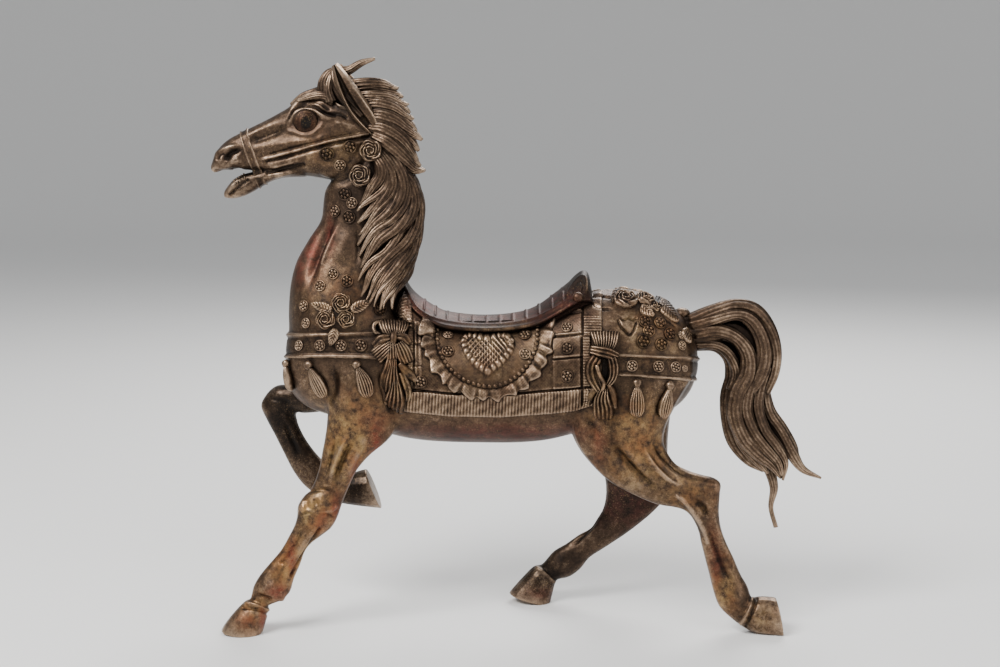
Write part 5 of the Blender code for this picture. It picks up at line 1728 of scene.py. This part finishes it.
# Where shade is painted: side, strength, centre, radii. The far legs, the undersides of jaw, chin and belly,
# gaps and grooves among the bows and hind legs, the hollow under the forelock and the drilled pupil are
# darkened as if in shade; one broad spot darkens round the eye.
PAINTED_SHADE_AREAS = [
    ("far", 1.0, (290, 420), (50, 60)), ("far", 1.0, (350, 488), (40, 30)),
    ("far", 0.9, (620, 500), (60, 50)), ("far", 0.8, (550, 575), (50, 30)),
    ("both", 0.7, (310, 176), (40, 12)), ("both", 0.6, (240, 178), (26, 16)),
    ("both", 2.8, (306, 122.5), (4.4, 5)), ("both", 0.45, (304, 121), (22, 17)),
    ("near", 0.9, (377.5, 329.5), (3.2, 4)),
    ("both", 1.0, (604.5, 372), (3.4, 9)),
    ("both", 0.8, (345, 106), (14, 14)), ("both", 0.6, (610, 430), (10, 30)),
    ("both", 0.5, (480, 437), (100, 12)), ("near", 0.5, (720, 560), (8, 30)),
]

print("marked areas", len(WARM_AREAS + RED_AREAS + PAINTED_SHADE_AREAS))

# %% [markdown]
# Averaging the bend over the neighbours a few times gives the close measure, and many times the
# wide one. Shelter is the share of rays, sent out about the normal, that meet metal nearby; it is
# later painted into the colour as shade in the recesses.

# %% Measuring wear and shelter
BEND_LIMIT = 1.5
CLOSE_ROUNDS = 2
WIDE_ROUNDS = 24


def edge_ends(mesh):
    """The two points of every edge, and how many edges meet at each point."""
    pairs = np.empty(len(mesh.edges) * 2, dtype=np.int64)
    mesh.edges.foreach_get("vertices", pairs)
    a, b = pairs.reshape(-1, 2).T
    count = len(mesh.vertices)
    return a, b, np.maximum(np.bincount(a, minlength=count) + np.bincount(b, minlength=count), 1)


def neighbours(level, a, b, links):
    """The mean of a measure over the points that share an edge with each point."""
    return (np.bincount(a, level[b], len(level)) + np.bincount(b, level[a], len(level))) / links


def bends(mesh):
    """How much the surface bends outward at each point, close by and further round."""
    a, b, links = edge_ends(mesh)
    places, normals = columns(mesh) / SQUARE, columns(mesh, "normal")
    gap = places[b] - places[a]
    square = np.maximum((gap ** 2).sum(1), 1e-3)
    count = len(places)
    bend = (np.bincount(a, -2 * (normals[a] * gap).sum(1) / square, count)
            + np.bincount(b, 2 * (normals[b] * gap).sum(1) / square, count)) / links
    bend = np.clip(bend, -BEND_LIMIT, BEND_LIMIT)
    kept = []
    for rounds in range(WIDE_ROUNDS + 1):
        if rounds in (CLOSE_ROUNDS, WIDE_ROUNDS):
            kept.append(bend.copy())
        bend = 0.5 * bend + 0.5 * neighbours(bend, a, b, links)
    return kept


def marked(points, areas):
    """How far each point lies in the listed areas: 1 is full, and more resists rubbing."""
    near, both = drawn(points), drawn(across(points))
    is_near = points[:, 1] < ORIGIN.y
    level = np.zeros(len(points))
    for side, strength, centre, radii in areas:
        seen = both if side == "both" else near
        here = {"near": is_near, "far": ~is_near, "both": np.ones(len(points), bool)}[side]
        level = np.maximum(level, strength * in_spot(seen, centre, radii) * here)
    return np.clip(level, 0, 3)


# Rays are sent out once for each small cell and each of the six ways a surface can face.
RAYS = 10
RAY_REACH = 16.0
CELL = 1.8
CELLS_ACROSS = 8000


def sheltered(mesh, form):
    """How closed in each point is, 0 to 1: the share of rays about its normal that are stopped."""
    points, normals = columns(mesh), columns(mesh, "normal")
    axis = np.abs(normals).argmax(1)
    facing = axis * 2 + (normals[np.arange(len(normals)), axis] > 0)
    cells = np.floor(points / (CELL * SQUARE)).astype(np.int64) + CELLS_ACROSS // 2
    key = (cells @ (CELLS_ACROSS ** 2, CELLS_ACROSS, 1)) * 6 + facing
    _, first, group = np.unique(key, return_index=True, return_inverse=True)
    golden = math.pi * (3 - math.sqrt(5))
    spread = []
    for k in range(RAYS):
        z = 1 - (2 * k + 1) / RAYS
        flat = math.sqrt(1 - z * z)
        spread.append(Vector((flat * math.cos(golden * k), flat * math.sin(golden * k), z)))
    level = np.zeros(len(first))
    for n, i in enumerate(first):
        normal = Vector(normals[i])
        start = Vector(points[i]) + normal * 0.5 * SQUARE
        stopped = 0
        for way in spread:
            ray = normal * 1.02 + way
            if form.ray_cast(start, ray, RAY_REACH * SQUARE)[0] is not None:
                stopped += 1
        level[n] = stopped / RAYS
    return level[group.ravel()]


def evened(mesh, level, rounds):
    """An attribute averaged with its neighbours a few times."""
    a, b, links = edge_ends(mesh)
    for _ in range(rounds):
        level = 0.4 * level + 0.6 * neighbours(level, a, b, links)
    return level


print("rays from each cell", RAYS)

# %% Weathering every piece
def weathered(piece, bias, shade):
    """Gives a piece its attributes: bias rubs it more, shade lets the painted shade of its recesses show
    less.
    """
    mesh = piece.data
    close, wide = bends(mesh)
    points = columns(mesh)
    closed_in = evened(mesh, sheltered(mesh, whole_form), 5)
    bend = 1.1 * (close - np.median(close)) + 5.0 * (wide - np.median(wide))
    values = {
        "wear": 0.5 + 0.5 * np.tanh(bend + bias),
        # painted shade in the recesses, from how closed in each point is
        "shelter": shade * closed_in,
        "warm": marked(points, WARM_AREAS),
        "red": marked(points, RED_AREAS),
        # painted shade over the marked areas
        "soot": marked(points, PAINTED_SHADE_AREAS),
    }
    for label, value in values.items():
        layer = mesh.attributes.new(label, "FLOAT", "POINT")
        layer.data.foreach_set("value", value.astype(np.float32))
    print(piece.name, "wear", round(float(values["wear"].mean()), 3))


pieces = [body, face, ears, saddle_piece, near_blanket, far_blanket, near_apron, far_apron, belts,
          mane, tail, trimmings, blooms, rosettes, beads]
whole_form = form_of(pieces)
# How much more or less than the body each piece is rubbed.
RUBBED = {
    "face": -0.35, "ears": 0.2, "saddle": -1.2, "blanket_near": -0.1, "blanket_far": -0.2,
    "belts": -0.3, "bows_and_tassels": 0.35, "mane": 0.15, "tail": 0.1, "roses_and_leaves": -0.2,
    "rosettes": 0.35, "beads": 0.1,
}
# Pieces whose painted shade in the recesses is halved.
HALF_SHADED = (rosettes, beads, ears)
for piece in pieces:
    weathered(piece, RUBBED.get(piece.name, 0.0), 0.5 if piece in HALF_SHADED else 1.0)

# %% [markdown]
# ## The bronze
# One finish covers everything, because it is one casting: a warm grey-brown metal under a nearly
# black patina. Worn places are paler and smoother, and two scales of grain break the borders up.
# The grain is laid in the object's own coordinates, so it does not slide when the figure moves.

# %% Bronze
# near-black of the patina, also the colour of the painted shade in recesses
PATINA_AND_SHADE_DARK = (0.018, 0.012, 0.009, 1)
PATINA_MID = (0.090, 0.056, 0.036, 1)
WORN_PALE = (0.36, 0.255, 0.175, 1)
WARM_METAL = (0.34, 0.15, 0.054, 1)
BRASS = (0.37, 0.24, 0.092, 1)
GOLD_FLECK = (0.52, 0.34, 0.16, 1)
RED_GROUND = (0.15, 0.014, 0.009, 1)
# near-black of the painted shade over the marked areas
PAINTED_SHADE_BLACK = (0.009, 0.007, 0.006, 1)


def finish_bronze(material):
    """The tree of the bronze: wear, bare metal, red ground, painted shade, specks and a fine bump."""
    material.use_nodes = True
    tree = material.node_tree
    tree.nodes.clear()
    add = adder(tree)

    def math_of(operation, first, second, clamp=False):
        """A sum or product of two values."""
        node = add("ShaderNodeMath", {"operation": operation, "use_clamp": clamp})
        feed(tree, node.inputs[0], first)
        feed(tree, node.inputs[1], second)
        return node.outputs["Value"]

    def past(value, start, slope, clamp=True):
        """How far a value is past its start, times a slope."""
        return math_of("MULTIPLY", math_of("SUBTRACT", value, start), slope, clamp)

    def layer(label):
        """One of the attributes kept on the points."""
        return add("ShaderNodeAttribute", {"attribute_name": label}).outputs["Fac"]

    def noise(scale, detail, roughness):
        """Noise in the object's own coordinates."""
        return add("ShaderNodeTexNoise", Vector=place, Scale=scale, Detail=detail,
                   Roughness=roughness).outputs[0]

    def blended(amount, first, second):
        """Two colours mixed by an amount."""
        node = add("ShaderNodeMix", {"data_type": "RGBA"})
        sockets = [socket for socket in node.inputs if socket.enabled]
        for socket, value in zip(sockets, (amount, first, second)):
            feed(tree, socket, value)
        return [socket for socket in node.outputs if socket.enabled][0]

    place = add("ShaderNodeTexCoord").outputs["Object"]
    clouds = noise(55.0, 4.0, 0.6)
    grain = noise(620.0, 3.0, 0.65)
    specks = noise(1500.0, 2.0, 0.5)
    mottle = noise(210.0, 4.0, 0.65)
    # wear, broken up by the clouds, the mottle and the grain
    wear = math_of("ADD", layer("wear"), past(clouds, 0.5, 0.55, False))
    wear = math_of("ADD", wear, past(mottle, 0.5, 0.6, False))
    wear = math_of("ADD", wear, past(grain, 0.5, 0.5, False), True)
    ramp = add("ShaderNodeValToRGB", Fac=wear)
    low, high = ramp.color_ramp.elements
    low.position, low.color = 0.22, PATINA_AND_SHADE_DARK
    high.position, high.color = 0.92, WORN_PALE
    middle = ramp.color_ramp.elements.new(0.56)
    middle.color = PATINA_MID
    # bare metal where hands reach, copper here and brass there, most of all on the raised parts
    warmth = math_of("MULTIPLY", layer("warm"), math_of("ADD", wear, 0.35), True)
    warmth = math_of("MULTIPLY", warmth, past(mottle, 0.36, 4.0))
    bare = blended(past(clouds, 0.38, 4.0), WARM_METAL, BRASS)
    colour = blended(warmth, ramp.outputs["Color"], bare)
    patches = past(mottle, 0.3, 3.4)
    redness = math_of("MULTIPLY", layer("red"), patches, True)
    colour = blended(redness, colour, RED_GROUND)
    # painted shade in what is closed in: recesses darken towards the patina's near-black
    recess_shade_level = past(layer("shelter"), 0.22, 1.6)
    colour = blended(math_of("POWER", recess_shade_level, 0.8), colour, PATINA_AND_SHADE_DARK)
    # painted shade over the marked areas, darkest where least rubbed
    painted_shade_level = math_of("MULTIPLY", layer("soot"), math_of("SUBTRACT", 1.45, wear), True)
    colour = blended(painted_shade_level, colour, PAINTED_SHADE_BLACK)
    # fine dark specks all over, and gold ones where the clouds are dense
    speck = math_of("MULTIPLY", math_of("SUBTRACT", 0.44, specks), 3.0, True)
    colour = blended(speck, colour, PATINA_AND_SHADE_DARK)
    fleck = past(specks, 0.575, 5.0)
    fleck = math_of("MULTIPLY", fleck, past(clouds, 0.38, 2.2))
    colour = blended(math_of("MULTIPLY", fleck, math_of("SUBTRACT", 0.75, recess_shade_level, True)), colour, GOLD_FLECK)
    rough = math_of("ADD", math_of("MULTIPLY", wear, -0.22), 0.54)
    rough = math_of("ADD", rough, past(grain, 0.5, 0.25, False))
    rough = math_of("ADD", rough, math_of("MULTIPLY", redness, 0.12), True)
    metal = math_of("SUBTRACT", 0.88, math_of("MULTIPLY", redness, 0.3), True)
    height = math_of("ADD", math_of("MULTIPLY", grain, 0.7), math_of("MULTIPLY", specks, 0.4))
    bump = add("ShaderNodeBump", Strength=0.35, Distance=0.00045, Height=height)
    surface = add("ShaderNodeBsdfPrincipled", Base_Color=colour, Metallic=metal, Roughness=rough,
                  Normal=bump.outputs["Normal"])
    surface.inputs["IOR"].default_value = 1.45
    surface.inputs["Specular IOR Level"].default_value = 0.5
    add("ShaderNodeOutputMaterial", Surface=surface.outputs["BSDF"])


finish_bronze(bronze)
print("bronze has", len(bronze.node_tree.nodes), "nodes")

# %% Handing the pieces over
for piece in pieces:
    piece.data.materials.clear()
    piece.data.materials.append(bronze)
    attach(piece, "root")
    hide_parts("horse")
print("finished pieces", len(pieces))

# %% [markdown]
# ## Studio
# The figure stands on a plain pale floor under soft light: a large lamp up on the left where the
# highlights of the neck and the croup come from, a weaker one on the right and one behind.

# %% Lamps and air
LAMPS = [
    # name, place and side in metres, power in watts
    ("key", (-0.75, -0.75, 1.25), 0.7, 32),
    ("fill", (0.95, -0.95, 0.7), 0.9, 8),
    ("back", (0.3, 1.0, 1.1), 0.8, 18),
]
LAMP_AIM = Vector((0, 0, 0.18))
AIR_COLOUR = (0.72, 0.74, 0.77, 1)
AIR_STRENGTH = 0.62


def aimed(thing, place, aim):
    """Stands a lamp or the camera in its place, looking at its aim."""
    thing.location = place
    thing.rotation_euler = (aim - Vector(place)).to_track_quat("-Z", "Y").to_euler()
    return thing


for name, place, size, power in LAMPS:
    light = bpy.data.lights.new(name, "AREA")
    light.shape = "SQUARE"
    light.size = size
    light.energy = power
    aimed(in_scene(name, light), place, LAMP_AIM)
world = bpy.data.worlds.new("studio")
bpy.context.scene.world = world
world.use_nodes = True
air = world.node_tree.nodes["Background"].inputs
air["Color"].default_value = AIR_COLOUR
air["Strength"].default_value = AIR_STRENGTH
print("lamps", len(LAMPS))

# %% [markdown]
# The floor is a disc whose edge turns up far away, so that no horizon shows. It is one grid of
# rings closed by a flat face in the middle, turned to face up.

# %% Floor
FLOOR_RADIUS = 3.0
TURN_UP = 1.6
TURN_RINGS = 12
FLOOR_SIDES = 96
FLOOR_COLOUR = (0.80, 0.79, 0.77, 1)
profile = [(0.5, 0), (1.5, 0), (FLOOR_RADIUS, 0)]
profile += [(FLOOR_RADIUS + TURN_UP * math.sin(a), TURN_UP * (1 - math.cos(a)))
            for a in np.linspace(0, math.pi / 2, TURN_RINGS + 1)[1:]]
bearings = [2 * math.pi * k / FLOOR_SIDES for k in range(FLOOR_SIDES)]
floor_points = [(r * math.cos(a), r * math.sin(a), z) for r, z in profile for a in bearings]
floor_faces = [face[::-1] for face in quads(len(profile), FLOOR_SIDES, loop=True)]
floor_faces += [tuple(range(FLOOR_SIDES))]
floor_mesh = bpy.data.meshes.new("floor")
floor_mesh.from_pydata(floor_points, [], floor_faces)
floor = in_scene("floor", smoothed(floor_mesh))
pale = bpy.data.materials.new("pale_floor")
pale.use_nodes = True
paint = pale.node_tree.nodes["Principled BSDF"].inputs
paint["Base Color"].default_value = FLOOR_COLOUR
paint["Roughness"].default_value = 0.9
floor_mesh.materials.append(pale)
print("floor", len(floor_faces), "faces")

# %% [markdown]
# The camera stands where the sketch was read from, so the render can be laid over it.

# %% Camera
target = Vector((0, 0, CENTRE_ABOVE_GROUND)) * SQUARE + ORIGIN
eye = target + Vector((0, -math.cos(EYE_TILT), math.sin(EYE_TILT))) * EYE_DISTANCE * SQUARE
lens = bpy.data.cameras.new("camera")
lens.lens = 60
lens.sensor_width = 36
lens.clip_start = 0.01
lens.dof.use_dof = False
camera = aimed(in_scene("camera", lens), eye, target)
bpy.context.scene.camera = camera
